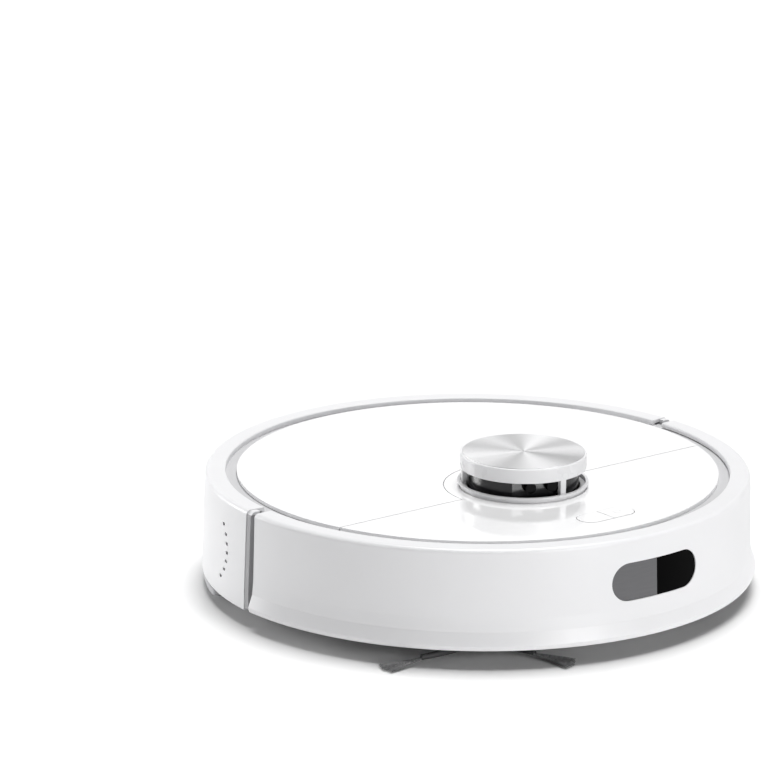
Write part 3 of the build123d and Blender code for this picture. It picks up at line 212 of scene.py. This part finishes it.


# Grey insert in a seam; above the shoulder its colour is painted white, a painted highlight where its
# top is lit like the shell beside it
def seamInsert(name, color, paintedHighlightColor, paintedHighlightHeight):
    material, tree, shader, vector = startMaterial(name, color, 0.5)
    parts = tree.nodes.new("ShaderNodeSeparateXYZ")
    tree.links.new(vector, parts.inputs["Vector"])
    # Painted highlight: white above the given height, grey below
    paintedLightLevel = spread(tree, parts.outputs["Z"], 0.0, 1.0, paintedHighlightHeight, paintedHighlightHeight + 0.2 * mm)
    tree.links.new(tint(tree, paintedLightLevel, color, paintedHighlightColor, 0.0, 1.0), shader.inputs["Base Color"])
    patch = noise(tree, vector, 60.0, 4.0)
    tree.links.new(spread(tree, patch, 0.45, 0.56), shader.inputs["Roughness"])
    bump(tree, shader, noise(tree, vector, 1400.0, 2.0), 0.35, 0.02 * mm)
    return material


# Rolled or ground steel for pins and axles
def groundSteel(name, color, roughness=0.3):
    material, tree, shader, vector = startMaterial(name, color, roughness, 1.0)
    streak = noise(tree, centred(tree, vector, (0, 0, 0), stretch=(1, 0.05, 0.05)), 60.0, 4.0)
    tree.links.new(spread(tree, streak, roughness - 0.1, roughness + 0.12),
                   shader.inputs["Roughness"])
    tree.links.new(tint(tree, streak, scaled(color, 0.85), scaled(color, 1.1)),
                   shader.inputs["Base Color"])
    bump(tree, shader, streak, 0.2, 0.01 * mm)
    return material


# Soft rubber: dull, dusty in patches, slightly rough
def softRubber(name, color, roughness=0.75):
    material, tree, shader, vector = startMaterial(name, color, roughness)
    dust = noise(tree, vector, 45.0, 5.0, 0.65)
    fine = noise(tree, vector, 1700.0, 2.0)
    tree.links.new(tint(tree, dust, scaled(color, 0.8), scaled(color, 1.35), 0.35, 0.8),
                   shader.inputs["Base Color"])
    tree.links.new(spread(tree, dust, roughness - 0.12, roughness + 0.1),
                   shader.inputs["Roughness"])
    bump(tree, shader, fine, 0.4, 0.05 * mm)
    return material


# Nylon bristles: streaks of lighter and darker fibres with a dry sheen
def bristleFibre(name, color):
    material, tree, shader, vector = startMaterial(name, color, 0.5)
    shader.inputs["Sheen Weight"].default_value = 0.2
    fibres = noise(tree, vector, 900.0, 3.0, 0.6)
    tree.links.new(tint(tree, fibres, scaled(color, 0.45), scaled(color, 2.1)),
                   shader.inputs["Base Color"])
    tree.links.new(spread(tree, fibres, 0.38, 0.6), shader.inputs["Roughness"])
    bump(tree, shader, fibres, 0.3, 0.03 * mm)
    return material


# Looped microfibre cloth: rows of small loops with a soft sheen, and painted shade: the colour darkens
# where the loops and rows dip
def microfibre(name, color):
    material, tree, shader, vector = startMaterial(name, color, 0.95)
    shader.inputs["Sheen Weight"].default_value = 0.35
    shader.inputs["Sheen Roughness"].default_value = 0.5
    loops = tree.nodes.new("ShaderNodeTexVoronoi")
    loops.inputs["Scale"].default_value = 620.0
    tree.links.new(vector, loops.inputs["Vector"])
    rows = wave(tree, vector, 130.0, "X")
    loopHeightAndShade = tree.nodes.new("ShaderNodeMath")
    loopHeightAndShade.operation = "MULTIPLY_ADD"
    tree.links.new(rows, loopHeightAndShade.inputs[0])
    loopHeightAndShade.inputs[1].default_value = 0.45
    tree.links.new(loops.outputs["Distance"], loopHeightAndShade.inputs[2])
    # Painted shade: the loop height that drives the bump also darkens the base colour in the dips
    tree.links.new(tint(tree, loopHeightAndShade.outputs["Value"], scaled(color, 0.62), scaled(color, 1.15), 0.1, 0.9),
                   shader.inputs["Base Color"])
    bump(tree, shader, loopHeightAndShade.outputs["Value"], 0.8, 0.5 * mm)
    return material


finishes = {
    "shellWhite": mouldedPlastic("shellWhite", (0.8, 0.8, 0.812), 0.34, 1500.0, 0.012, 0.01),
    "deckGloss": polishedPlastic("deckGloss", (0.93, 0.93, 0.935)),
    "turretWhite": mouldedPlastic("turretWhite", (0.8, 0.8, 0.81), 0.3, 1500.0, 0.01, 0.01),
    "frameGrey": mouldedPlastic("frameGrey", (0.6, 0.6, 0.61), 0.45),
    "iconGrey": mouldedPlastic("iconGrey", (0.62, 0.62, 0.63), 0.4),
    "panGrey": mouldedPlastic("panGrey", (0.56, 0.56, 0.57), 0.5, 1100.0, 0.03),
    "bracketGrey": mouldedPlastic("bracketGrey", (0.50, 0.50, 0.515), 0.5, 1100.0, 0.03),
    "gearBlack": mouldedPlastic("gearBlack", (0.035, 0.035, 0.037), 0.5, 900.0, 0.04, 0.15),
    "rimGrey": mouldedPlastic("rimGrey", (0.12, 0.12, 0.125), 0.42, 1200.0, 0.02, 0.08),
    "casterWhite": mouldedPlastic("casterWhite", (0.7, 0.7, 0.71), 0.4, 1200.0, 0.02, 0.05),
    "coreGrey": mouldedPlastic("coreGrey", (0.09, 0.09, 0.095), 0.4, 1200.0, 0.02, 0.1),
    "tubCover": mouldedPlastic("tubCover", (0.16, 0.16, 0.17), 0.42, 1200.0, 0.02, 0.06),
    "batteryWrap": mouldedPlastic("batteryWrap", (0.03, 0.035, 0.07), 0.35, 300.0, 0.03, 0.1),
    "boardGreen": mouldedPlastic("boardGreen", (0.02, 0.1, 0.045), 0.4, 400.0, 0.05, 0.2),
    "windowBlack": tintedPane("windowBlack", (0.0004, 0.0004, 0.0005), 0.06),
    "windowGrey": tintedPane("windowGrey", (0.15, 0.15, 0.155), 0.2),
    "drumBlack": polishedPlastic("drumBlack", (0.008, 0.008, 0.009), 0.2, 0.15),
    "lensGlass": tintedPane("lensGlass", (0.001, 0.001, 0.0015), 0.05),
    "tubSmoke": polishedPlastic("tubSmoke", (0.07, 0.075, 0.085), 0.12, 0.5),
    "pinSteel": groundSteel("pinSteel", (0.55, 0.55, 0.56)),
    "contactMetal": groundSteel("contactMetal", (0.72, 0.66, 0.55), 0.22),
    "tyreRubber": softRubber("tyreRubber", (0.022, 0.022, 0.024)),
    "brushRubber": softRubber("brushRubber", (0.06, 0.06, 0.065)),
    "sideRubber": softRubber("sideRubber", (0.045, 0.045, 0.047), 0.6),
    "bristle": bristleFibre("bristle", (0.15, 0.15, 0.153)),
    "mopCloth": microfibre("mopCloth", (0.36, 0.37, 0.39)),
    "filterPaper": microfibre("filterPaper", (0.8, 0.79, 0.74)),
}
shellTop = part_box("rear_shell")[1].z
# Painted highlight on the seam strips from 2.4 mm below the shell's top upwards
finishes["stripGreyPaintedHighlight"] = seamInsert("stripGreyPaintedHighlight", (0.37, 0.37, 0.38), (0.8, 0.8, 0.812),
                                   shellTop - 2.4 * mm)
discLow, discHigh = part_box("turret_disc")
# The disc's finish carries a painted reflection in its base colour
finishes["discMetalPaintedReflection"] = spunMetal("discMetalPaintedReflection", (0.84, 0.84, 0.85), (discLow + discHigh) / 2)
print("finishes made", len(finishes))

# Which finish each carried-over node wears
nodeFinish = {
    "shellWhite": ("bumper_shell", "rear_shell"),
    "deckGloss": ("front_cover", "rear_lid", "button_right", "button_left"),
    "turretWhite": ("turret_base", "turret_cap"),
    "discMetalPaintedReflection": ("turret_disc",),
    "drumBlack": ("lidar_drum",),
    "lensGlass": ("lidar_lenses",),
    "frameGrey": ("mid_frame", "exhaust_grille", "lid_arm_right", "lid_arm_left"),
    "stripGreyPaintedHighlight": ("seam_strip_right", "seam_strip_left"),
    "panGrey": ("chassis_pan", "battery_door"),
    "bracketGrey": ("mop_bracket", "brush_guard"),
    "windowGrey": ("window_pane_right",),
    "windowBlack": ("window_pane_left", "dock_window", "cliff_lens_1", "cliff_lens_2",
                    "cliff_lens_3", "cliff_lens_4"),
    "contactMetal": ("charge_contact_right", "charge_contact_left"),
    "pinSteel": ("pivot_pin_right", "pivot_pin_left", "hinge_pin_right", "hinge_pin_left",
                 "caster_axle", "lidar_motor"),
    "gearBlack": ("drive_arm_right", "drive_arm_left", "speaker", "fan_housing",
                  "brush_motor", "caster_socket", "side_gearbox"),
    "rimGrey": ("rim_right", "rim_left", "impeller"),
    "casterWhite": ("caster_fork", "caster_wheel"),
    "coreGrey": ("brush_core",),
    "brushRubber": ("brush_fins",),
    "tyreRubber": ("tyre_right", "tyre_left"),
    "sideRubber": ("side_brush_hub", "side_tufts"),
    "tubSmoke": ("dust_tub",),
    "tubCover": ("tub_cover",),
    "filterPaper": ("dust_filter",),
    "batteryWrap": ("battery",),
    "boardGreen": ("main_board",),
    "mopCloth": ("mop_pad",),
}
for finish, members in nodeFinish.items():
    for member in members:
        nodes[member].data.materials.clear()
        nodes[member].data.materials.append(finishes[finish])
print("carried-over nodes dressed")

# Merges, smooths and links a finished bmesh, then hangs it on its body
def finishPiece(name, mesh, finish, body, replaced=(), sharp=32.0):
    bmesh.ops.remove_doubles(mesh, verts=mesh.verts, dist=weldGap)
    bmesh.ops.recalc_face_normals(mesh, faces=mesh.faces)
    data = bpy.data.meshes.new(name)
    mesh.to_mesh(data)
    mesh.free()
    data.shade_smooth()
    data.set_sharp_from_angle(angle=math.radians(sharp))
    data.materials.append(finishes[finish])
    piece = bpy.data.objects.new(name, data)
    bpy.context.scene.collection.objects.link(piece)
    if replaced:
        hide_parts(*replaced)
    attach(piece, body)
    print("made", name, len(data.polygons), "faces")
    return piece


# A closed loop of edges that faces along a direction
def circleLoop(mesh, place, ahead, radius, sides, capped=False):
    turn = ahead.to_track_quat("Z", "Y").to_matrix().to_4x4()
    ring = bmesh.ops.create_circle(mesh, cap_ends=capped, segments=sides, radius=radius,
                                   matrix=Matrix.Translation(place) @ turn)
    return list({edge for vert in ring["verts"] for edge in vert.link_edges})


# A round rod that follows a path of points, closed at both ends
def rod(mesh, path, radii, sides):
    before = None
    last = len(path) - 1
    for index, place in enumerate(path):
        ahead = (path[min(index + 1, last)] - path[max(index - 1, 0)]).normalized()
        loop = circleLoop(mesh, place, ahead, radii[index], sides, index in (0, last))
        if before:
            bmesh.ops.bridge_loops(mesh, edges=before + loop)
        before = loop


# Tyres: a spun section with two rows of staggered lugs whose tops are the CAD radius
tyre = {"steps": 56, "depth": 7.0 * mm, "lug": 1.5 * mm, "lugInset": 0.45 * mm,
        "lugDrop": 0.06 * mm, "grooveWidth": 1.2 * mm, "grooveDepth": 0.5 * mm,
        "shoulder": 1.6 * mm, "wallInset": 0.3 * mm, "beadWidth": 0.6 * mm,
        "beadHeight": 1.0 * mm, "sharp": 28.0}


def makeTyre(node, body):
    low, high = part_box(node)
    centre = (low + high) / 2
    half = (high.x - low.x) / 2
    outer = (high.z - low.z) / 2
    inner = outer - tyre["depth"]
    floor = outer - tyre["lug"]
    halfSection = (
        (tyre["grooveWidth"] / 2, floor - tyre["grooveDepth"]), (tyre["grooveWidth"], floor),
        (half - tyre["shoulder"], floor), (half - tyre["wallInset"], floor - tyre["shoulder"]),
        (half, (inner + floor) / 2), (half, inner + tyre["beadHeight"]),
        (half - tyre["beadWidth"], inner),
    )
    section = [(-x, r) for x, r in reversed(halfSection)] + list(halfSection)
    mesh = bmesh.new()
    verts = [mesh.verts.new(centre + Vector((x, 0, r))) for x, r in section]
    edges = [mesh.edges.new(pair) for pair in zip(verts, verts[1:] + verts[:1])]
    bmesh.ops.spin(mesh, geom=verts + edges, cent=centre, axis=(1, 0, 0),
                   angle=math.tau, steps=tyre["steps"], use_merge=True)
    bmesh.ops.remove_doubles(mesh, verts=mesh.verts, dist=weldGap)
    bmesh.ops.recalc_face_normals(mesh, faces=mesh.faces)
    lugs = []
    for face in mesh.faces:
        offset = face.calc_center_median() - centre
        wide = max(v.co.x for v in face.verts) - min(v.co.x for v in face.verts)
        tread = math.hypot(offset.y, offset.z) > floor - tyre["wallInset"]
        if wide > half / 2 and tread:
            step = round(math.atan2(offset.z, offset.y) / math.tau * tyre["steps"] - 0.5)
            if (step + (offset.x > 0)) % 2:
                lugs.append(face)
    bmesh.ops.inset_individual(mesh, faces=lugs, thickness=tyre["lugInset"], depth=0.0,
                               use_even_offset=True)
    raised = bmesh.ops.extrude_discrete_faces(mesh, faces=lugs)["faces"]
    for face in raised:
        offset = face.calc_center_median() - centre
        lift = Vector((0, offset.y, offset.z)).normalized() * (tyre["lug"] - tyre["lugDrop"])
        bmesh.ops.translate(mesh, verts=face.verts, vec=lift)
    finishPiece(node + "_treaded", mesh, "tyreRubber", body, (node,),
                tyre["sharp"])


makeTyre("tyre_right", "wheel_right")
makeTyre("tyre_left", "wheel_left")

# Main brush: six rubber blades that twist from the ends towards the middle
brush = {"blades": 6, "twist": 62.0, "steps": 22, "root": 11.6 * mm, "rootWidth": 2.6 * mm,
         "waist": 0.82, "tipWidth": 1.1 * mm, "tipRound": 0.4 * mm, "endGap": 0.5 * mm}


def makeBrushBlades():
    low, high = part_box("brush_fins")
    centre = (low + high) / 2
    half = (high.x - low.x) / 2 - brush["endGap"]
    tip = (high.z - low.z) / 2
    halfSection = (
        (brush["tipWidth"] / 5, tip), (brush["tipWidth"] / 2, tip - brush["tipRound"]),
        (brush["tipWidth"] / 2, tip * brush["waist"]), (brush["rootWidth"] / 2, brush["root"]),
    )
    section = [(-y, r) for y, r in reversed(halfSection)] + list(halfSection)
    mesh = bmesh.new()
    for blade in range(brush["blades"]):
        turn = Matrix.Rotation(math.tau * blade / brush["blades"], 3, "X")
        for side in (1, -1):
            start = [mesh.verts.new(centre + turn @ Vector((0, y, r))) for y, r in section]
            loop = [mesh.edges.new(pair) for pair in zip(start, start[1:] + start[:1])]
            bmesh.ops.spin(mesh, geom=start + loop, cent=centre, axis=(1, 0, 0),
                           dvec=(side * half / brush["steps"], 0, 0),
                           angle=math.radians(brush["twist"]), steps=brush["steps"])
    bmesh.ops.remove_doubles(mesh, verts=mesh.verts, dist=weldGap)
    bmesh.ops.holes_fill(mesh, edges=[edge for edge in mesh.edges if edge.is_boundary])
    finishPiece("brush_blades", mesh, "brushRubber", "main_brush",
                ("brush_fins",), 40.0)


makeBrushBlades()

# Side brush: a domed hub with its screw, three rubber arms and a fan of bristles on each
sweeper = {
    "armAzimuth": 83.6, "arms": 3, "armLength": 40.0 * mm, "tuftLength": 67.0 * mm,
    "bristles": 120, "bristleRadius": 0.24 * mm, "fan": 6.5, "trail": 7.0,
    "hubRadius": 11.0 * mm, "rootRadius": 2.5 * mm, "kneeRadius": 1.75 * mm,
}


def outFrom(centre, azimuth, distance, height):
    turn = math.radians(azimuth)
    return Vector((centre.x + math.sin(turn) * distance, centre.y + math.cos(turn) * distance,
                   height))


def makeSideBrush():
    low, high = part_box("side_gearbox")
    centre = (low + high) / 2
    hubLow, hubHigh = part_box("side_brush_hub")
    mesh = bmesh.new()
    profile = (
        (3.1 * mm, hubHigh.z), (sweeper["hubRadius"] - 0.8 * mm, hubHigh.z),
        (sweeper["hubRadius"], hubHigh.z - 0.8 * mm), (sweeper["hubRadius"], hubLow.z + 1.6 * mm),
        (sweeper["hubRadius"] - 1.3 * mm, hubLow.z + 0.35 * mm), (6.0 * mm, hubLow.z),
        (4.2 * mm, hubLow.z), (3.9 * mm, hubLow.z + 0.9 * mm), (3.1 * mm, hubLow.z + 0.9 * mm),
    )
    verts = [mesh.verts.new((centre.x + r, centre.y, z)) for r, z in profile]
    edges = [mesh.edges.new(pair) for pair in zip(verts, verts[1:] + verts[:1])]
    bmesh.ops.spin(mesh, geom=verts + edges, cent=(centre.x, centre.y, 0), axis=(0, 0, 1),
                   angle=math.tau, steps=48, use_merge=True)
    knees = []
    for arm in range(sweeper["arms"]):
        azimuth = sweeper["armAzimuth"] + 360.0 / sweeper["arms"] * arm
        path = []
        radii = []
        for step in range(9):
            share = step / 8
            distance = (0.2 + 0.8 * share) * sweeper["armLength"]
            height = hubLow.z + 1.9 * mm - 0.9 * mm * share ** 2
            path.append(outFrom(centre, azimuth + sweeper["trail"] * share ** 2, distance, height))
            radii.append(sweeper["rootRadius"] * (1 - share) + sweeper["kneeRadius"] * share)
        rod(mesh, path, radii, 12)
        knees.append(azimuth + sweeper["trail"])
    finishPiece("side_brush_arms", mesh, "sideRubber", "side_brush",
                ("side_brush_hub",), 40.0)
    tufts = bmesh.new()
    for azimuth in knees:
        for strand in range(sweeper["bristles"]):
            lean = random.uniform(-1, 1)
            drop = random.uniform(0, 1)
            reach = sweeper["tuftLength"] - (1.5 * abs(lean) + random.uniform(0, 2.2)) * mm
            path = []
            for step in range(4):
                share = step / 3
                distance = sweeper["armLength"] - 2.0 * mm
                distance += (reach - distance) * share
                turned = azimuth + lean * sweeper["fan"] * (0.12 + 0.88 * share ** 1.2)
                turned += 3.0 * share ** 2
                height = (3.9 - 1.1 * drop - (1.0 + 1.0 * drop) * share ** 1.5) * mm
                path.append(outFrom(centre, turned, distance, height))
            radius = sweeper["bristleRadius"]
            rod(tufts, path, (radius, radius, radius * 0.9, radius * 0.5), 4)
    finishPiece("side_brush_bristles", tufts, "bristle", "side_brush",
                ("side_tufts",), 60.0)
    screw = bmesh.new()
    makeScrewHead(screw, Vector((centre.x, centre.y, hubLow.z + 0.1 * mm)), 2.9 * mm)
    finishPiece("side_brush_screw", screw, "pinSteel", "side_brush")


# A pan-head screw seen from below: a domed disc with a cross recess
def makeScrewHead(mesh, place, radius):
    disc = bmesh.ops.create_circle(mesh, cap_ends=True, segments=24, radius=radius,
                                   matrix=Matrix.Translation(place))
    face = disc["verts"][0].link_faces[0]
    side = bmesh.ops.extrude_face_region(mesh, geom=[face])["geom"]
    top = [item for item in side if isinstance(item, bmesh.types.BMFace)][0]
    bmesh.ops.translate(mesh, verts=top.verts, vec=(0, 0, 1.2 * mm))
    bmesh.ops.inset_region(mesh, faces=[face], thickness=radius * 0.22, use_even_offset=True)
    bmesh.ops.translate(mesh, verts=face.verts, vec=(0, 0, -0.35 * mm))
    for turn in (0.0, math.pi / 2):
        slot = bmesh.ops.create_cube(mesh, size=1.0, matrix=(
            Matrix.Translation(place + Vector((0, 0, -0.33 * mm)))
            @ Matrix.Rotation(turn, 4, "Z")
            @ Matrix.Diagonal((radius * 0.95, radius * 0.2, 0.1 * mm, 1.0))))
        bmesh.ops.bevel(mesh, geom=list({edge for vert in slot["verts"]
                                         for edge in vert.link_edges}),
                        offset=0.02 * mm, segments=1, profile=0.5, affect="EDGES", material=-1)


makeSideBrush()

# Pan-head screws of the chassis, seen from below
chassisScrews = {
    "radius": 2.6 * mm,
    "places": ((60, 60), (-60, 60), (60, 4), (-60, 4), (34, 152), (-34, 152), (146, 44),
               (-146, 44), (52, 96), (-92, 100)),
}


def makeChassisScrews():
    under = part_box("battery_door")[0].z
    mesh = bmesh.new()
    for x, y in chassisScrews["places"]:
        makeScrewHead(mesh, Vector((x * mm, y * mm, under - 0.05 * mm)), chassisScrews["radius"])
    finishPiece("chassis_screws", mesh, "pinSteel", "housing")


makeChassisScrews()

# Raised marks on the two buttons: a start ring and a small house
buttonMarks = {"line": 0.32 * mm, "proud": 0.05 * mm, "size": 2.9 * mm, "offset": 10.2 * mm}


def makeButtonMark(side, body):
    low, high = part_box(body)
    centre = Vector((side * buttonMarks["offset"], (low.y + high.y) / 2,
                     high.z + buttonMarks["proud"] - buttonMarks["line"]))
    size = buttonMarks["size"]
    mesh = bmesh.new()
    if side > 0:
        ring = []
        for step in range(21):
            turn = math.radians(35 + 290 * step / 20)
            ring.append(centre + Vector((math.sin(turn), math.cos(turn), 0)) * size)
        rod(mesh, ring, [buttonMarks["line"]] * len(ring), 8)
        rod(mesh, [centre + Vector((0, size * 1.1, 0)), centre + Vector((0, size * 0.15, 0))],
            [buttonMarks["line"]] * 2, 8)
    else:
        wall = ((-0.75, 0.05), (-0.75, -0.9), (0.75, -0.9), (0.75, 0.05))
        roof = ((-1.1, 0.0), (0.0, 1.0), (1.1, 0.0))
        for line in (wall, roof):
            path = [centre + Vector((x * size, y * size, 0)) for x, y in line]
            rod(mesh, path, [buttonMarks["line"]] * len(path), 8)
    finishPiece(body + "_mark", mesh, "iconGrey", body)


makeButtonMark(1, "button_right")
makeButtonMark(-1, "button_left")

# Mop pad: a plush microfibre crescent with a sewn channel inside its rim and one across it
mopPad = {"voxel": 1.7 * mm, "rounding": 6, "pile": 0.35 * mm, "channel": 1.1 * mm,
          "channelWidth": 2.2 * mm, "rimChannel": 8.0 * mm, "middleChannel": 34.0 * mm}


def makeMopPad():
    node = nodes["mop_pad"]
    low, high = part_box("mop_pad")
    outer = max(math.hypot(v.co.x, v.co.y) for v in node.data.vertices)
    solid = bmesh.new()
    solid.from_mesh(node.data)
    bmesh.ops.remove_doubles(solid, verts=solid.verts, dist=0.005 * mm)
    rough = bpy.data.meshes.new("mopRough")
    solid.to_mesh(rough)
    solid.free()
    helper = bpy.data.objects.new("mopRough", rough)
    bpy.context.scene.collection.objects.link(helper)
    remesh = helper.modifiers.new("remesh", "REMESH")
    remesh.mode = "VOXEL"
    remesh.voxel_size = mopPad["voxel"]
    bpy.context.view_layer.update()
    shaped = helper.evaluated_get(bpy.context.evaluated_depsgraph_get())
    mesh = bmesh.new()
    mesh.from_mesh(shaped.to_mesh())
    shaped.to_mesh_clear()
    bpy.data.objects.remove(helper)
    bpy.data.meshes.remove(rough)
    for turn in range(mopPad["rounding"]):
        bmesh.ops.smooth_vert(mesh, verts=mesh.verts, factor=0.5, use_axis_x=True,
                              use_axis_y=True, use_axis_z=True)
    middle = (low.z + high.z) / 2
    for vert in mesh.verts:
        if vert.co.z > middle:
            continue
        inwards = outer - math.hypot(vert.co.x, vert.co.y)
        lift = mopPad["pile"] * (noiseAt(vert.co * 620.0) + 1.0) / 2
        for line in (mopPad["rimChannel"], mopPad["middleChannel"]):
            near = abs(inwards - line) / mopPad["channelWidth"]
            lift += mopPad["channel"] * math.exp(-near * near)
        vert.co.z = max(vert.co.z, low.z) + lift
    pad = finishPiece("mop_pad_cloth", mesh, "mopCloth", "mop", ("mop_pad",), 80.0)


makeMopPad()

# Camera: a long lens, low over the front right, aimed a little left of and above the robot
camera = {
    "lens": 208.5, "distance": 2.857, "target": (0.0, 0.0, 0.0591),
    "azimuth": 39.5, "elevation": 17.04,     # azimuth from forward towards the right
    "aimLeft": 0.01998, "aimUp": 0.0223,     # tangents of the aim away from the target
    "roll": 0.363,
}


def placeCamera():
    turn = math.radians(camera["azimuth"])
    rise = math.radians(camera["elevation"])
    outwards = Vector((math.sin(turn) * math.cos(rise), math.cos(turn) * math.cos(rise),
                       math.sin(rise)))
    right = Vector((0, 0, 1)).cross(outwards).normalized()
    up = outwards.cross(right)
    ahead = (-outwards - right * camera["aimLeft"] + up * camera["aimUp"]).normalized()
    right = ahead.cross(Vector((0, 0, 1))).normalized()
    up = right.cross(ahead)
    roll = math.radians(camera["roll"])
    tiltedRight = right * math.cos(roll) + up * math.sin(roll)
    tiltedUp = up * math.cos(roll) - right * math.sin(roll)
    data = bpy.data.cameras.new("mainCamera")
    data.lens = camera["lens"]
    data.sensor_width = 36.0
    data.clip_start = 0.1
    data.clip_end = 60.0
    body = bpy.data.objects.new("mainCamera", data)
    bpy.context.scene.collection.objects.link(body)
    place = Vector(camera["target"]) + outwards * camera["distance"]
    turned = Matrix((tiltedRight, tiltedUp, -ahead)).transposed()
    body.matrix_world = Matrix.Translation(place) @ turned.to_4x4()
    bpy.context.scene.camera = body


placeCamera()

# Floor and light: a pale sheet, an even room, a broad sun from above and soft boxes
studio = {
    "floorSize": 30.0, "floorColor": (0.9, 0.9, 0.9), "worldColor": (1.0, 1.0, 1.0),
    "worldStrength": 0.05, "sunStrength": 3.1, "sunSpread": 36.0, "sunAzimuth": 248.0,
    "sunElevation": 80.0,
}
softBoxes = (    # name, azimuth, elevation, distance, width, height, watts
    ("keyBox", 0.0, 11.0, 1.9, 0.7, 0.7, 15.0),
    ("fillBox", 150.0, 12.0, 1.9, 0.7, 0.7, 17.5),
    ("rearBox", 216.0, 17.0, 2.6, 3.2, 1.0, 9.0),
)


def aimLamp(lamp, azimuth, elevation, distance):
    turn = math.radians(azimuth)
    rise = math.radians(elevation)
    outwards = Vector((math.sin(turn) * math.cos(rise), math.cos(turn) * math.cos(rise),
                       math.sin(rise)))
    facing = outwards.to_track_quat("Z", "Y").to_matrix().to_4x4()
    stand = bpy.data.objects.new(lamp.name, lamp)
    bpy.context.scene.collection.objects.link(stand)
    stand.matrix_world = Matrix.Translation(outwards * distance) @ facing


def makeStudio():
    mesh = bmesh.new()
    bmesh.ops.create_grid(mesh, x_segments=4, y_segments=4, size=studio["floorSize"] / 2)
    data = bpy.data.meshes.new("floor")
    mesh.to_mesh(data)
    mesh.free()
    floor = bpy.data.objects.new("floor", data)
    bpy.context.scene.collection.objects.link(floor)
    material, tree, shader, vector = startMaterial("floorPaper", studio["floorColor"], 0.85)
    paper = noise(tree, vector, 6.0, 3.0)
    tree.links.new(tint(tree, paper, scaled(studio["floorColor"], 0.985),
                        scaled(studio["floorColor"], 1.01)), shader.inputs["Base Color"])
    data.materials.append(material)
    world = bpy.data.worlds.new("softRoom")
    world.use_nodes = True
    world.node_tree.nodes["Background"].inputs["Color"].default_value = (
        *studio["worldColor"], 1.0)
    world.node_tree.nodes["Background"].inputs["Strength"].default_value = (
        studio["worldStrength"])
    bpy.context.scene.world = world
    for name, azimuth, elevation, distance, width, height, watts in softBoxes:
        lamp = bpy.data.lights.new(name, "AREA")
        lamp.shape = "RECTANGLE"
        lamp.size = width
        lamp.size_y = height
        lamp.energy = watts
        aimLamp(lamp, azimuth, elevation, distance)
    sun = bpy.data.lights.new("broadSun", "SUN")
    sun.energy = studio["sunStrength"]
    sun.angle = math.radians(studio["sunSpread"])
    aimLamp(sun, studio["sunAzimuth"], studio["sunElevation"], 3.0)
    bpy.context.scene.view_settings.view_transform = "Standard"


makeStudio()
print("studio and camera placed")
